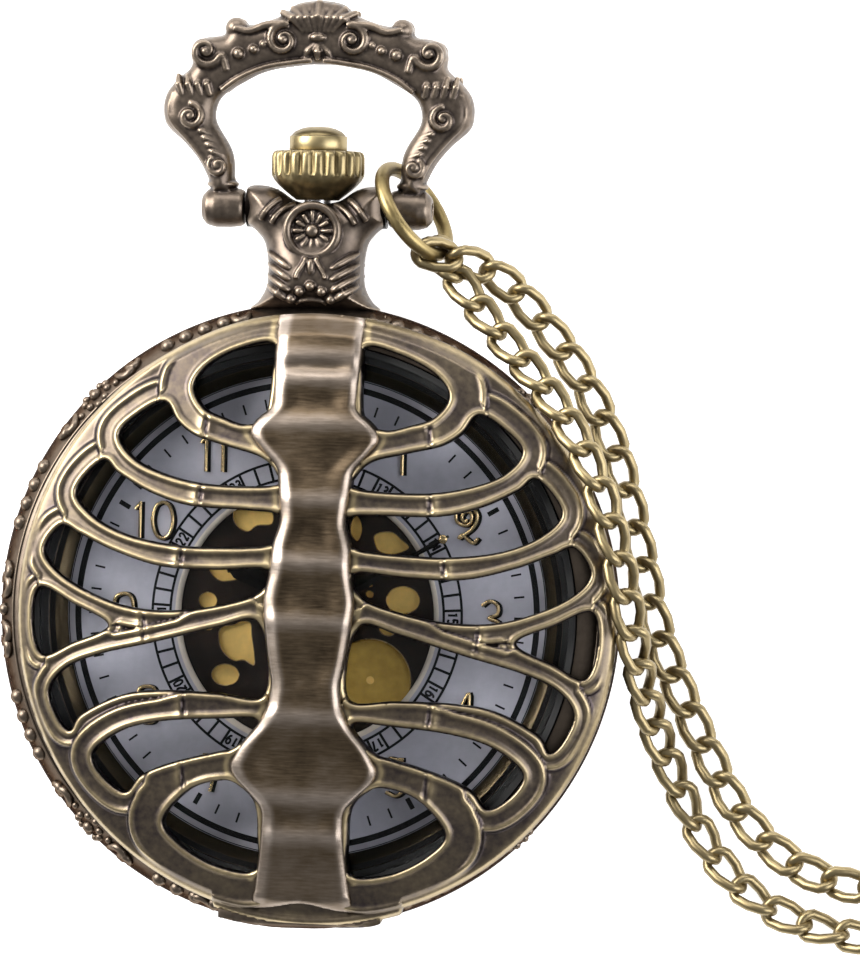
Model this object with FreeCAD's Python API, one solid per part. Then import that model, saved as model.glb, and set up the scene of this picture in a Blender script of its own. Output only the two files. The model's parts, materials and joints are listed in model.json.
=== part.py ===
"""Pocket watch with an openwork rib-cage front cover and a necklace chain.

Frame, in millimetres: the watch lies on its back. The origin is the centre of the back's flat
resting face, +Z points out of the dial, +Y to 12 o'clock and the pendant, +X to 3 o'clock.
"""
import FreeCAD
import Part

import math
import os

# ---------------------------------------------------------------- driving dimensions
CASE_R = 23.5            # widest radius of the case band
CASE_WIDEST_Z = 4.5
BAND_TOP_R = 22.8
BAND_TOP_Z = 8.0
BAND_BORE_R = 20.6
BACK_REST_R = 16.5       # flat circle of the back that rests on a table
AXIS_Z = 4.4             # height of the stem, crown, pendant and bow
FIT = 0.05               # running clearance
COVER_R = 22.8
COVER_BASE_Z = 8.15
COVER_RIM_TOP_Z = 9.5
COVER_RIM_INNER_R = 21.7
COVER_APEX_Z = 12.9
COVER_THICKNESS = 1.1
COVER_SKEW_DEG = -1.4    # the worn hinge lets the cover sit a little clockwise
HINGE_Y = -22.45
HINGE_Z = 7.85
HINGE_KNUCKLE_R = 0.85
HINGE_PIN_R = 0.38
HINGE_HALF_LENGTH = 6.0
COVER_KNUCKLE_HALF = 2.95
DIAL_OPENING_R = 9.85
DIAL_R = 20.4
DIAL_Z = 5.9
DIAL_THICKNESS = 0.4
NUMERAL_RING_R = 13.9
NUMERAL_HEIGHT = 3.0
MOVEMENT_R = 9.6
STEM_R = 0.5
SLEEVE_R = 1.0
BUTTON_TRAVEL = 0.5
CROWN_R = 3.52
CROWN_FLUTES = 26
BOW_AXIS_Y = 30.6
BOW_THICKNESS = 2.8
BOW_END_R = 1.5
RING_CENTRE = (7.35, 30.5, AXIS_Z)
RING_NORMAL = (0.80, 0.516, 0.31)
RING_R = 3.73
RING_WIRE_R = 0.55
CHAIN_D = 2.6
COIL_CENTRE = (69.5, -10.0)
COIL_OUTER_R = 20.8
COIL_INNER_R = 9.9
CLASP_START = (64.8, -11.0)
CLASP_ANGLE_DEG = -57.0
CLASP_Z = 1.45
CLASP_THICKNESS = 1.3

# Openings of the right-hand half of the cover, from its centre: x from the spine, y upwards.
COVER_OPENINGS = (
    ((3.4, 20.3), (5.95, 19.75), (8.3, 18.5), (9.3, 16.9), (8.4, 15.4), (5.3, 14.2), (3.5, 15.5)),
    ((11.5, 15.5), (14.6, 13.0), (13.4, 11.2), (10.4, 10.1), (7.1, 9.7), (2.9, 9.9), (4.0, 11.8),
     (9.0, 13.2)),
    ((15.8, 11.0), (17.7, 8.7), (16.5, 6.9), (10.3, 5.0), (3.2, 5.3), (2.5, 7.6), (9.1, 8.0)),
    ((18.7, 5.9), (19.9, 4.1), (18.6, 2.3), (12.5, 0.1), (4.8, 1.3), (3.4, 3.4), (11.0, 3.4)),
    ((20.0, 1.2), (15.3, -1.2), (19.6, -3.5), (20.5, -0.8)),
    ((3.9, -0.5), (11.6, -2.4), (17.9, -4.6), (19.0, -6.3), (17.7, -9.3), (13.7, -6.4), (3.3, -5.9)),
    ((3.6, -7.8), (10.5, -8.2), (15.5, -10.8), (15.0, -12.5), (13.2, -13.7), (9.6, -11.2), (5.3, -10.0)),
    ((5.8, -12.5), (8.3, -13.2), (10.3, -15.6), (6.4, -18.7), (3.4, -18.9), (3.4, -14.2)),
)

# Half width of the spine against the distance up from the cover's centre.
SPINE_HALF_WIDTHS = (
    (20.6, 3.2), (15.6, 3.1), (13.6, 4.7), (11.1, 2.8), (7.1, 2.4), (4.0, 3.0), (1.3, 3.3),
    (-4.9, 2.5), (-7.9, 3.3), (-11.2, 5.4), (-13.0, 4.4), (-14.4, 3.0), (-20.6, 3.4),
)

# Bow outline, right-hand half: x from the middle, y from the case centre.
BOW_OUTER = (
    (0.0, 46.3), (1.8, 46.0), (2.85, 45.2), (5.15, 44.4), (6.4, 44.8), (7.3, 43.7), (9.0, 43.3),
    (9.8, 42.2), (10.8, 40.2), (11.6, 39.1), (11.8, 37.9), (11.4, 36.6), (10.1, 35.4), (8.95, 34.0),
    (8.2, 32.4), (8.1, 31.0),
)
BOW_INNER = (
    (6.4, 31.0), (6.38, 32.1), (6.38, 33.9), (6.7, 35.2), (7.7, 37.0), (7.7, 38.2), (7.2, 39.1),
    (5.8, 40.0), (4.0, 40.9), (1.5, 41.4), (0.0, 41.4),
)

# Routes of the two chain strands from the jump ring to the coil, as corner points.
STRAND_INNER = (
    (11.0, 25.1, 4.8), (14.4, 21.0, 6.4), (18.4, 17.0, 7.9), (22.2, 11.5, 8.3), (24.6, 5.0, 8.2),
    (25.4, -1.7, 6.3), (26.3, -7.4, 3.4), (27.6, -12.0, 1.5), (29.5, -16.2, 1.3), (32.1, -19.7, 1.3),
    (35.9, -22.3, 1.3), (41.5, -23.6, 1.3), (48.4, -24.6, 1.3), (55.4, -26.0, 1.3),
    (60.6, -27.4, 1.3),
)
STRAND_OUTER = (
    (12.9, 27.0, 3.9), (16.6, 22.9, 2.2), (20.4, 17.9, 1.35), (23.4, 11.7, 1.3), (25.5, 5.0, 1.3),
    (27.0, -1.2, 1.3), (28.6, -6.0, 1.3), (30.2, -10.4, 1.3), (32.0, -14.0, 1.3),
    (34.8, -17.0, 1.3), (38.2, -19.2, 1.3), (43.2, -20.0, 1.9), (48.6, -20.5, 3.95),
    (53.6, -22.4, 3.95), (58.0, -25.0, 3.95),
)
ARC_SHARE = 0.45         # part of the shorter run that an arc takes up

Vector = FreeCAD.Vector
X_AXIS = Vector(1, 0, 0)
Y_AXIS = Vector(0, 1, 0)
Z_AXIS = Vector(0, 0, 1)

nodes = {}


# ---------------------------------------------------------------- helpers
def cylinder(base, axis, radius, length):
    return Part.makeCylinder(radius, length, Vector(*base), axis)


def box(low, high):
    size = [b - a for a, b in zip(low, high)]
    return Part.makeBox(size[0], size[1], size[2], Vector(*low))


def revolve(profile, axis=Z_AXIS, centre=(0, 0, 0)):
    """Turns a closed (radius, height) polygon about an axis."""
    side = X_AXIS if axis != X_AXIS else Y_AXIS
    origin = Vector(*centre)
    points = [origin + side * r + axis * h for r, h in profile]
    wire = Part.makePolygon(points + [points[0]])
    return Part.Face(wire).revolve(origin, axis, 360)


def washer(outer, inner, low, high, centre=(0, 0)):
    disc = cylinder((centre[0], centre[1], low), Z_AXIS, outer, high - low)
    if inner <= 0:
        return disc
    return disc.cut(cylinder((centre[0], centre[1], low - 1), Z_AXIS, inner, high - low + 2))


def smooth_prism(outline, low, high, mirror=False):
    """Extrudes a smooth closed outline of (x, y) points from one height to another."""
    sign = -1 if mirror else 1
    curve = Part.BSplineCurve()
    curve.interpolate([Vector(sign * x, y, low) for x, y in outline], PeriodicFlag=True)
    face = Part.Face(Part.Wire(curve.toShape()))
    return face.extrude(Vector(0, 0, high - low))


def polygon_prism(outline, low, high):
    points = [Vector(x, y, low) for x, y in outline]
    face = Part.Face(Part.makePolygon(points + [points[0]]))
    return face.extrude(Vector(0, 0, high - low))


def dome(radius, rim_z, apex_z, floor_z):
    """A solid cap: a spherical top over a flat floor."""
    rise = apex_z - rim_z
    arc = Part.Arc(
        Vector(0, 0, apex_z),
        Vector(radius * 0.5, 0, apex_z - rise * 0.255),
        Vector(radius, 0, rim_z),
    ).toShape()
    lines = Part.makePolygon(
        [Vector(radius, 0, rim_z), Vector(radius, 0, floor_z), Vector(0, 0, floor_z), Vector(0, 0, apex_z)]
    )
    return Part.Face(Part.Wire([arc] + lines.Edges)).revolve(Vector(0, 0, 0), Z_AXIS, 360)


def polar(radius, angle_deg, centre=(0.0, 0.0)):
    angle = math.radians(angle_deg)
    return (centre[0] + radius * math.cos(angle), centre[1] + radius * math.sin(angle))


def gear(teeth, module, centre, phase, low, high, bore):
    """A spur gear with trapezoid teeth; phase is the angle of one tooth, in radians."""
    pitch = 2 * math.pi / teeth
    pitch_r = teeth * module / 2
    outline = []
    for tooth in range(teeth):
        middle = phase + tooth * pitch
        for radius, share in (
            (pitch_r - 1.1 * module, -0.30),
            (pitch_r + 0.8 * module, -0.12),
            (pitch_r + 0.8 * module, 0.12),
            (pitch_r - 1.1 * module, 0.30),
        ):
            angle = middle + share * pitch
            outline.append((centre[0] + radius * math.cos(angle), centre[1] + radius * math.sin(angle)))
    solid = polygon_prism(outline, low, high)
    if bore > 0:
        solid = solid.cut(cylinder((centre[0], centre[1], low - 1), Z_AXIS, bore, high - low + 2))
    return solid


def meshed_phase(phase, teeth, next_teeth, direction):
    """Tooth phase of a gear that meshes with one that lies in the opposite direction."""
    share = (direction - phase) * teeth / (2 * math.pi)
    return direction + math.pi - (2 * math.pi / next_teeth) * (0.5 - share)


def fillet_arc(before, corner, after):
    """The two tangent points and the middle point of the arc that rounds a corner."""
    towards_before = (before - corner).normalize()
    towards_after = (after - corner).normalize()
    reach = ARC_SHARE * min((before - corner).Length, (after - corner).Length)
    half_turn = (math.pi - towards_before.getAngle(towards_after)) / 2
    radius = reach / math.tan(half_turn)
    bisector = (towards_before + towards_after).normalize()
    middle = corner + bisector * (radius / math.cos(half_turn) - radius)
    return corner + towards_before * reach, middle, corner + towards_after * reach, radius


def tube(route, diameter, name):
    """A cord of straight runs joined by tangent arcs."""
    points = [Vector(*p) for p in route]
    edges = []
    radii = []
    start = points[0]
    for before, corner, after in zip(points, points[1:], points[2:]):
        entry, middle, leave, radius = fillet_arc(before, corner, after)
        edges.append(Part.LineSegment(start, entry).toShape())
        edges.append(Part.Arc(entry, middle, leave).toShape())
        radii.append(radius)
        start = leave
    edges.append(Part.LineSegment(start, points[-1]).toShape())
    path = Part.Wire(edges)
    section = Part.Wire(Part.Circle(points[0], points[1] - points[0], diameter / 2).toShape())
    solid = path.makePipeShell([section], True, True)
    expected = math.pi * diameter * diameter / 4 * path.Length
    print(name, "length", round(path.Length, 1), "volume ratio", round(solid.Volume / expected, 4))
    print(name, "radii", [round(r, 1) for r in radii])
    return solid


# ---------------------------------------------------------------- case
def hinge_clearance(half_length):
    start = (-half_length, HINGE_Y, HINGE_Z)
    return cylinder(start, X_AXIS, HINGE_KNUCKLE_R + 0.12, 2 * half_length)


def hinge_knuckle(x_from, x_to, bore_r):
    barrel = cylinder((x_from, HINGE_Y, HINGE_Z), X_AXIS, HINGE_KNUCKLE_R, x_to - x_from)
    return barrel, cylinder((x_from - 1, HINGE_Y, HINGE_Z), X_AXIS, bore_r, x_to - x_from + 2)


def case_envelope():
    return revolve(((0, 2.4), (21.9, 2.4), (22.9, 3.0), (CASE_R, CASE_WIDEST_Z), (23.3, 6.2),
                    (BAND_TOP_R, BAND_TOP_Z), (0, BAND_TOP_Z)))


def hinge_foot():
    return box((-HINGE_HALF_LENGTH, -24, 5.6), (HINGE_HALF_LENGTH, -22.0, 7.5))


def case_lug():
    """The case half of the hinge: two knuckles on a foot let into the band."""
    lug = hinge_foot().common(case_envelope())
    for x_from in (-HINGE_HALF_LENGTH, COVER_KNUCKLE_HALF + FIT):
        x_to = x_from + HINGE_HALF_LENGTH - COVER_KNUCKLE_HALF - FIT
        barrel, bore = hinge_knuckle(x_from, x_to, HINGE_PIN_R)
        lug = lug.fuse(barrel)
        lug = lug.cut(bore)
    middle = cylinder((-COVER_KNUCKLE_HALF - FIT, HINGE_Y, HINGE_Z), X_AXIS,
                      HINGE_KNUCKLE_R + 0.12, 2 * (COVER_KNUCKLE_HALF + FIT))
    return lug.cut(middle).removeSplitter()


def case_band():
    bore = revolve(((0, 0), (BAND_BORE_R, 0), (BAND_BORE_R, 6.9), (19.4, 6.9), (19.4, 7.3),
                    (20.55, 7.3), (20.55, 9), (0, 9)))
    band = case_envelope().cut(bore)
    band = band.cut(washer(21.4, BAND_BORE_R - 0.1, 2.3, 2.8))
    band = band.cut(box((-1.3, 20.2, 3.1), (1.3, 22.0, 9)))
    band = band.cut(cylinder((0, 20, AXIS_Z), Y_AXIS, SLEEVE_R + FIT, 5))
    spring_slot = washer(21.7, 21.0, 6.4, 9)
    band = band.cut(spring_slot.common(box((-4.3, -23, 6), (4.3, -19, 9))))
    band = band.cut(hinge_clearance(HINGE_HALF_LENGTH + 0.1))
    return band.cut(hinge_foot())


def case_back():
    return revolve(((0, 0), (BACK_REST_R, 0), (18.6, 0.3), (20.4, 1.0), (21.4, 1.8), (21.5, 2.3),
                    (20.5, 2.3), (20.5, 3.4), (19.7, 3.4), (19.7, 1.7), (18.6, 0.95), (0, 0.95)))


def make_case():
    nodes["case_band"] = case_band()
    nodes["case_back"] = case_back()
    nodes["back_gasket"] = washer(21.35, BAND_BORE_R + 0.05, 2.33, 2.77)
    nodes["case_hinge_lug"] = case_lug()
    nodes["hinge_pin"] = cylinder((-HINGE_HALF_LENGTH, HINGE_Y, HINGE_Z), X_AXIS, HINGE_PIN_R,
                                  2 * HINGE_HALF_LENGTH)
    spring = washer(21.5, 21.2, 6.5, 7.9)
    nodes["cover_lift_spring"] = spring.common(box((-4.1, -23, 6), (4.1, -19, 9)))
    nodes["bezel_ring"] = revolve(((18.0, 6.32), (20.5, 6.32), (20.5, 6.88), (19.36, 6.88),
                                   (19.36, 7.3), (19.1, 7.3), (18.0, 6.5)))
    nodes["crystal_gasket"] = revolve(((19.5, 7.32), (20.5, 7.32), (20.5, 8.6), (20.05, 8.6),
                                       (20.05, 7.62), (19.5, 7.62)))
    nodes["crystal"] = dome(20.0, 8.5, 9.3, 7.65).cut(dome(18.6, 7.75, 8.3, 7.0))


# ---------------------------------------------------------------- front cover
def cover_at_skew(shape):
    turned = shape.copy()
    turned.rotate(Vector(0, -CASE_R, 0), Z_AXIS, COVER_SKEW_DEG)
    return turned


def make_cover():
    shell = dome(21.8, COVER_RIM_TOP_Z - 0.05, COVER_APEX_Z, COVER_BASE_Z)
    hollow = dome(COVER_RIM_INNER_R, 8.65, COVER_APEX_Z - COVER_THICKNESS, COVER_BASE_Z - 1)
    rim = revolve(((20.6, 9.0), (COVER_RIM_INNER_R, 8.6), (COVER_RIM_INNER_R, COVER_BASE_Z),
                   (COVER_R, COVER_BASE_Z), (COVER_R, 9.1), (22.3, COVER_RIM_TOP_Z),
                   (20.6, COVER_RIM_TOP_Z)))
    plate = shell.cut(hollow)
    for outline in COVER_OPENINGS:
        for mirror in (False, True):
            plate = plate.cut(smooth_prism(outline, 5, 15, mirror))
    widths = [(w, y) for y, w in SPINE_HALF_WIDTHS]
    spine_outline = widths + [(-w, y) for w, y in reversed(widths)]
    raised = dome(21.0, COVER_RIM_TOP_Z + 0.2, COVER_APEX_Z + 0.45, 9.0)
    lowered = dome(20.9, COVER_RIM_TOP_Z - 0.6, COVER_APEX_Z - 0.9, 8.0)
    spine = polygon_prism(spine_outline, 8, 15).common(raised.cut(lowered))
    cover = cover_at_skew(plate.fuse(rim).fuse(spine))
    cover = cover.cut(box((-1.5, 20.2, 8.5), (1.5, 22.05, 8.95)))
    cover = cover.cut(hinge_clearance(HINGE_HALF_LENGTH + 0.15))
    leaf = box((-COVER_KNUCKLE_HALF, -22.7, 8.3), (COVER_KNUCKLE_HALF, -21.9, 9.1))
    barrel, bore = hinge_knuckle(-COVER_KNUCKLE_HALF, COVER_KNUCKLE_HALF, HINGE_PIN_R + FIT)
    knuckle = leaf.fuse(barrel).cut(bore).removeSplitter()
    nodes["cover_hinge_knuckle"] = knuckle
    nodes["front_cover"] = cover.cut(leaf)


# ---------------------------------------------------------------- pendant, crown and bow
def make_pendant():
    neck = revolve(((0, 21.5), (4.4, 21.5), (3.95, 23.2), (3.63, 25.0), (3.63, 27.0), (2.9, 28.6),
                    (2.3, 30.0), (2.2, 31.2), (0, 31.2)), Y_AXIS, (0, 0, AXIS_Z))
    neck = neck.cut(case_envelope())
    neck = neck.cut(box((-6, 20, -1), (6, 23.0, 9)))
    neck = neck.cut(cylinder((0, 20, AXIS_Z), Y_AXIS, SLEEVE_R + FIT, 13))
    neck = neck.cut(box((-6, 31.0, -1), (6, 34, 9)))
    arms = cylinder((-5.3, BOW_AXIS_Y, AXIS_Z), X_AXIS, 1.45, 10.6)
    arms = arms.cut(box((-1.8, 28, -1), (1.8, 34, 9))).cut(box((-3.0, 31.0, -1), (3.0, 34, 9))).cut(neck)
    screws = []
    for side in (-1, 1):
        along = Vector(side, 0, 0)
        shank = cylinder((side * 3.4, BOW_AXIS_Y, AXIS_Z), along, 0.5, 4.9)
        head = cylinder((side * 8.1, BOW_AXIS_Y, AXIS_Z), along, 0.95, 0.5)
        screws.append(shank.fuse(head))
        arms = arms.cut(cylinder((side * 3.4, BOW_AXIS_Y, AXIS_Z), along, 0.5, 3))
    nodes["pendant_neck"] = neck.removeSplitter()
    nodes["pendant_arms"] = arms
    nodes["bow_pivot_screws"] = Part.makeCompound(screws)


def bow_curve(points, low):
    half = [Vector(x, y, low) for x, y in points]
    curve = Part.BSplineCurve()
    curve.interpolate(half)
    return curve.toShape()


def make_bow():
    low = AXIS_Z - BOW_THICKNESS / 2
    outer = [(-x, y) for x, y in reversed(BOW_OUTER)] + list(BOW_OUTER[1:])
    inner = list(BOW_INNER) + [(-x, y) for x, y in reversed(BOW_INNER[:-1])]
    feet = []
    for side in (-1, 1):
        foot = [Vector(side * BOW_OUTER[-1][0], BOW_OUTER[-1][1], low),
                Vector(side * BOW_INNER[0][0], BOW_INNER[0][1], low)]
        feet.append(Part.makeLine(foot[0], foot[1]))
    wire = Part.Wire(Part.__sortEdges__([bow_curve(outer, low), bow_curve(inner, low)] + feet))
    bow = Part.Face(wire).extrude(Vector(0, 0, BOW_THICKNESS))
    for side in (-1, 1):
        along = Vector(side, 0, 0)
        bow = bow.fuse(cylinder((side * 5.4, BOW_AXIS_Y, AXIS_Z), along, BOW_END_R, 3.3))
    for side in (-1, 1):
        along = Vector(side, 0, 0)
        bow = bow.cut(cylinder((side * 5.0, BOW_AXIS_Y, AXIS_Z), along, 0.5 + FIT, 4))
        bow = bow.cut(cylinder((side * 8.05, BOW_AXIS_Y, AXIS_Z), along, 1.0, 2))
    nodes["bow"] = bow.removeSplitter()
    nodes["jump_ring"] = Part.makeTorus(RING_R, RING_WIRE_R, Vector(*RING_CENTRE), Vector(*RING_NORMAL))


def make_crown():
    centre = (0, 0, AXIS_Z)
    crown = revolve(((0, 31.25), (1.6, 31.25), (2.3, 31.9), (3.2, 32.6), (CROWN_R, 33.1),
                     (CROWN_R, 34.8), (3.2, 34.95), (0, 34.95)), Y_AXIS, centre)
    for flute in range(CROWN_FLUTES):
        x, z = polar(CROWN_R + 0.1, flute * 360 / CROWN_FLUTES, (0, AXIS_Z))
        crown = crown.cut(cylinder((x, 32.9, z), Y_AXIS, 0.28, 2.2))
    crown = crown.cut(cylinder((0, 31, AXIS_Z), Y_AXIS, SLEEVE_R + FIT, 5))
    crown = crown.cut(cylinder((0, 34.3, AXIS_Z), Y_AXIS, 2.25, 2))
    pin_hole = cylinder((-2.6, 33.6, AXIS_Z), X_AXIS, 0.28, 5.2)
    nodes["crown"] = crown.cut(pin_hole)
    stem = cylinder((0, 8.6, AXIS_Z), Y_AXIS, STEM_R, 25.9)
    groove = washer(0.7, 0.33, 0, 0.5)
    groove.rotate(Vector(0, 0, 0), X_AXIS, -90)
    groove.translate(Vector(0, 10.2, AXIS_Z))
    nodes["stem"] = stem.cut(groove).cut(pin_hole)
    nodes["crown_cross_pin"] = pin_hole.copy()

    button = revolve(((0, 36.8), (0.9, 36.7), (1.7, 36.3), (2.12, 35.6), (2.175, 34.95), (0, 34.95)),
                     Y_AXIS, centre)
    stem_hole = cylinder((0, 21, AXIS_Z), Y_AXIS, STEM_R + FIT, 14.05)
    sleeve = cylinder((0, 21.65, AXIS_Z), Y_AXIS, SLEEVE_R, 13.3).cut(stem_hole)
    slot_low = 33.6 - 0.28 - FIT
    slot_high = 33.6 + 0.28 + BUTTON_TRAVEL + FIT
    slot = box((-2, slot_low, AXIS_Z - 0.28 - FIT), (2, slot_high, AXIS_Z + 0.28 + FIT))
    nodes["crown_button"] = button.cut(stem_hole)
    nodes["button_sleeve"] = sleeve.cut(slot)

    catch = box((-1.1, 21.3, 3.2), (1.1, 21.6, 8.85)).fuse(box((-0.8, 21.6, 8.55), (0.8, 21.64, 8.85)))
    catch = catch.removeSplitter()
    nodes["cover_catch"] = catch.cut(cylinder((0, 21, AXIS_Z), Y_AXIS, STEM_R + 0.1, 1))
    lever = box((-0.9, 10.25, 3.95), (3.6, 10.65, 4.95))
    lever = lever.cut(box((-0.36, 10, 3.9), (0.36, 11, AXIS_Z + 0.36)))
    lever = lever.cut(cylinder((0, 10, AXIS_Z), Y_AXIS, 0.36, 1))
    nodes["setting_lever"] = lever


# ---------------------------------------------------------------- dial side
def numeral_blocks():
    blocks = []
    for hour in range(1, 13):
        x, y = polar(NUMERAL_RING_R, 90 - 30 * hour)
        half = 1.35 if hour > 9 else 0.8
        top = DIAL_Z + DIAL_THICKNESS
        blocks.append(box((x - half, y - NUMERAL_HEIGHT / 2, top),
                          (x + half, y + NUMERAL_HEIGHT / 2, top + 0.25)))
    return blocks


def make_dial():
    nodes["dial"] = washer(DIAL_R, DIAL_OPENING_R, DIAL_Z, DIAL_Z + DIAL_THICKNESS)
    nodes["dial_numerals"] = Part.makeCompound(numeral_blocks())
    plate = washer(10.6, 1.0, 5.55, 5.85)
    windows = (
        ((-5.8, 7.8), (-3.0, 7.3), (-3.4, 6.2), (-5.4, 6.4)),
        ((-7.5, 3.5), (-5.2, 3.4), (-5.2, 2.6), (-7.3, 2.5)),
        ((5.2, 5.8), (7.4, 5.6), (7.3, 4.6), (5.3, 4.6)),
        ((6.2, 2.4), (8.9, 2.2), (8.8, 0.9), (6.4, 1.0)),
        ((-6.7, -0.7), (-4.0, -0.9), (-4.2, -3.7), (-6.5, -3.6)),
        ((-7.2, -4.1), (-5.2, -4.3), (-5.4, -5.3), (-7.0, -5.2)),
    )
    for window in windows:
        plate = plate.cut(polygon_prism(window, 5, 6))
    plate = plate.cut(cylinder((-7.6, 0.2, 5), Z_AXIS, 1.4, 1))
    plate = plate.cut(cylinder((5.4, -3.6, 5), Z_AXIS, 2.5, 1))
    nodes["skeleton_plate"] = plate
    nodes["gilt_plate"] = washer(10.5, 1.0, 5.15, 5.45)


def hand(length, tail, width, low, thickness, clock_deg, hub_r, bore_r):
    """A tapered hand with a round hub, pointing at a clock angle from 12."""
    outline = [(-width * 0.35, -tail), (width * 0.35, -tail), (width / 2, length * 0.55),
               (0.12, length), (-0.12, length), (-width / 2, length * 0.55)]
    blade = polygon_prism(outline, low, low + thickness)
    blade = blade.fuse(cylinder((0, 0, low), Z_AXIS, hub_r, thickness))
    blade = blade.cut(cylinder((0, 0, low - 1), Z_AXIS, bore_r, thickness + 2)).removeSplitter()
    blade.rotate(Vector(0, 0, 0), Z_AXIS, -clock_deg)
    return blade


def make_hands():
    nodes["hour_hand"] = hand(8.6, 1.6, 1.3, 6.75, 0.2, 305, 1.2, 0.8)
    nodes["minute_hand"] = hand(12.4, 2.2, 1.0, 7.1, 0.16, 60, 0.9, 0.48)
    nodes["second_hand"] = hand(12.0, 3.4, 0.35, 7.4, 0.12, 180, 0.6, 0.25)


# ---------------------------------------------------------------- movement
THIRD_AXIS = (0.0, -3.4)
INTERMEDIATE_AXIS = polar(2.4, 45)
ROTOR_AXIS = polar(1.89, -30, INTERMEDIATE_AXIS)
MINUTE_WHEEL_AXIS = polar(2.2, 250)
BATTERY_AXIS = (-5.0, 3.5)


def arbor(centre, radius, low, high):
    return cylinder((centre[0], centre[1], low), Z_AXIS, radius, high - low)


def make_train():
    down = math.radians(270)
    up_right = math.radians(45)
    motion = math.radians(250)
    second = gear(40, 0.10, (0, 0), 0, 1.9, 2.1, 0).fuse(gear(8, 0.10, (0, 0), 0, 2.1, 2.35, 0))
    nodes["second_wheel"] = second.fuse(arbor((0, 0), 0.25, 1.7, 7.55)).removeSplitter()
    third_phase = meshed_phase(0, 8, 60, down)
    third = gear(60, 0.10, THIRD_AXIS, third_phase, 2.2, 2.3, 0)
    third = third.fuse(gear(8, 0.0944, THIRD_AXIS, 0, 2.3, 2.8, 0))
    nodes["third_wheel"] = third.fuse(arbor(THIRD_AXIS, 0.15, 1.7, 2.85)).removeSplitter()
    centre_phase = meshed_phase(0, 8, 64, down + math.pi)
    nodes["centre_wheel"] = gear(64, 0.0944, (0, 0), centre_phase, 2.55, 2.7, 0.36)
    pinion_phase = meshed_phase(0, 40, 8, up_right)
    wheel = gear(8, 0.10, INTERMEDIATE_AXIS, pinion_phase, 1.9, 2.15, 0)
    wheel = wheel.fuse(gear(36, 0.09, INTERMEDIATE_AXIS, 0, 2.2, 2.3, 0))
    nodes["intermediate_wheel"] = wheel.fuse(arbor(INTERMEDIATE_AXIS, 0.15, 1.7, 2.5)).removeSplitter()
    rotor_phase = meshed_phase(0, 36, 6, math.radians(-30))
    rotor = gear(6, 0.09, ROTOR_AXIS, rotor_phase, 2.15, 2.35, 0)
    nodes["rotor"] = rotor.fuse(arbor(ROTOR_AXIS, 0.6, 1.65, 2.05)).fuse(
        arbor(ROTOR_AXIS, 0.12, 1.62, 2.85)).removeSplitter()

    cannon = gear(10, 0.11, (0, 0), 0, 3.85, 4.15, 0).fuse(arbor((0, 0), 0.45, 4.15, 7.35))
    cannon = cannon.fuse(arbor((0, 0), 0.34, 2.4, 3.85))
    nodes["cannon_pinion"] = cannon.cut(arbor((0, 0), 0.29, 2, 8)).removeSplitter()
    minute_phase = meshed_phase(0, 10, 30, motion)
    minute = gear(30, 0.11, MINUTE_WHEEL_AXIS, minute_phase, 3.9, 4.1, 0)
    minute = minute.fuse(gear(10, 0.088, MINUTE_WHEEL_AXIS, 0, 4.1, 4.6, 0))
    nodes["minute_wheel"] = minute.cut(arbor(MINUTE_WHEEL_AXIS, 0.2, 3, 5)).removeSplitter()
    hour_phase = meshed_phase(0, 10, 40, motion + math.pi)
    hour = gear(40, 0.088, (0, 0), hour_phase, 4.3, 4.5, 0).fuse(arbor((0, 0), 0.75, 4.5, 7.0))
    nodes["hour_wheel"] = hour.cut(arbor((0, 0), 0.5, 4, 8)).removeSplitter()


def make_plates():
    pillars = [polar(8.3, angle) for angle in (75, 200, 320)]
    plate = washer(MOVEMENT_R, 0.4, 2.95, 3.75)
    plate = plate.cut(cylinder((BATTERY_AXIS[0], BATTERY_AXIS[1], 2), Z_AXIS, 3.0, 3))
    plate = plate.fuse(arbor(MINUTE_WHEEL_AXIS, 0.17, 3.7, 4.7))
    for axis, radius in ((THIRD_AXIS, 0.2), (ROTOR_AXIS, 0.17)):
        plate = plate.cut(arbor(axis, radius, 2.5, 3.2))
    bridge = polygon_prism(((2.9, 8.9), (-8.6, -2.4), (-7.0, -5.6), (0, -7.8), (6.6, -5.9), (8.7, 1.5)),
                           1.25, 1.6)
    bridge = bridge.cut(cylinder((BATTERY_AXIS[0], BATTERY_AXIS[1], 1), Z_AXIS, 3.1, 3))
    screws = []
    for x, y in pillars:
        pillar = arbor((x, y), 0.6, 1.65, 3.0)
        plate = plate.fuse(pillar).cut(arbor((x, y), 0.3, 1.5, 3.1))
        bridge = bridge.fuse(arbor((x, y), 0.8, 1.25, 1.6)).cut(arbor((x, y), 0.32, 1, 2))
        screws.append(arbor((x, y), 0.29, 1.2, 2.9).fuse(arbor((x, y), 0.6, 1.0, 1.22)))
    nodes["main_plate"] = plate.removeSplitter()
    nodes["train_bridge"] = bridge.removeSplitter()
    nodes["bridge_screws"] = Part.makeCompound(screws)
    holder = washer(18.4, MOVEMENT_R + 0.1, 1.05, 1.8).fuse(washer(19.4, MOVEMENT_R + 0.1, 1.8, 3.5))
    holder = holder.fuse(washer(20.3, MOVEMENT_R + 0.1, 3.5, 5.85))
    holder = holder.cut(washer(10.7, 9, 5.1, 6))
    holder = holder.cut(box((-0.8, 9, 3.6), (0.8, 21, 5.2)))
    holder = holder.cut(box((-1.5, 20.0, 2), (1.5, 21, 6))).cut(box((-1.2, 9.5, 3.8), (4.0, 12.2, 5.1)))
    nodes["movement_holder"] = holder.removeSplitter()


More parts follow.
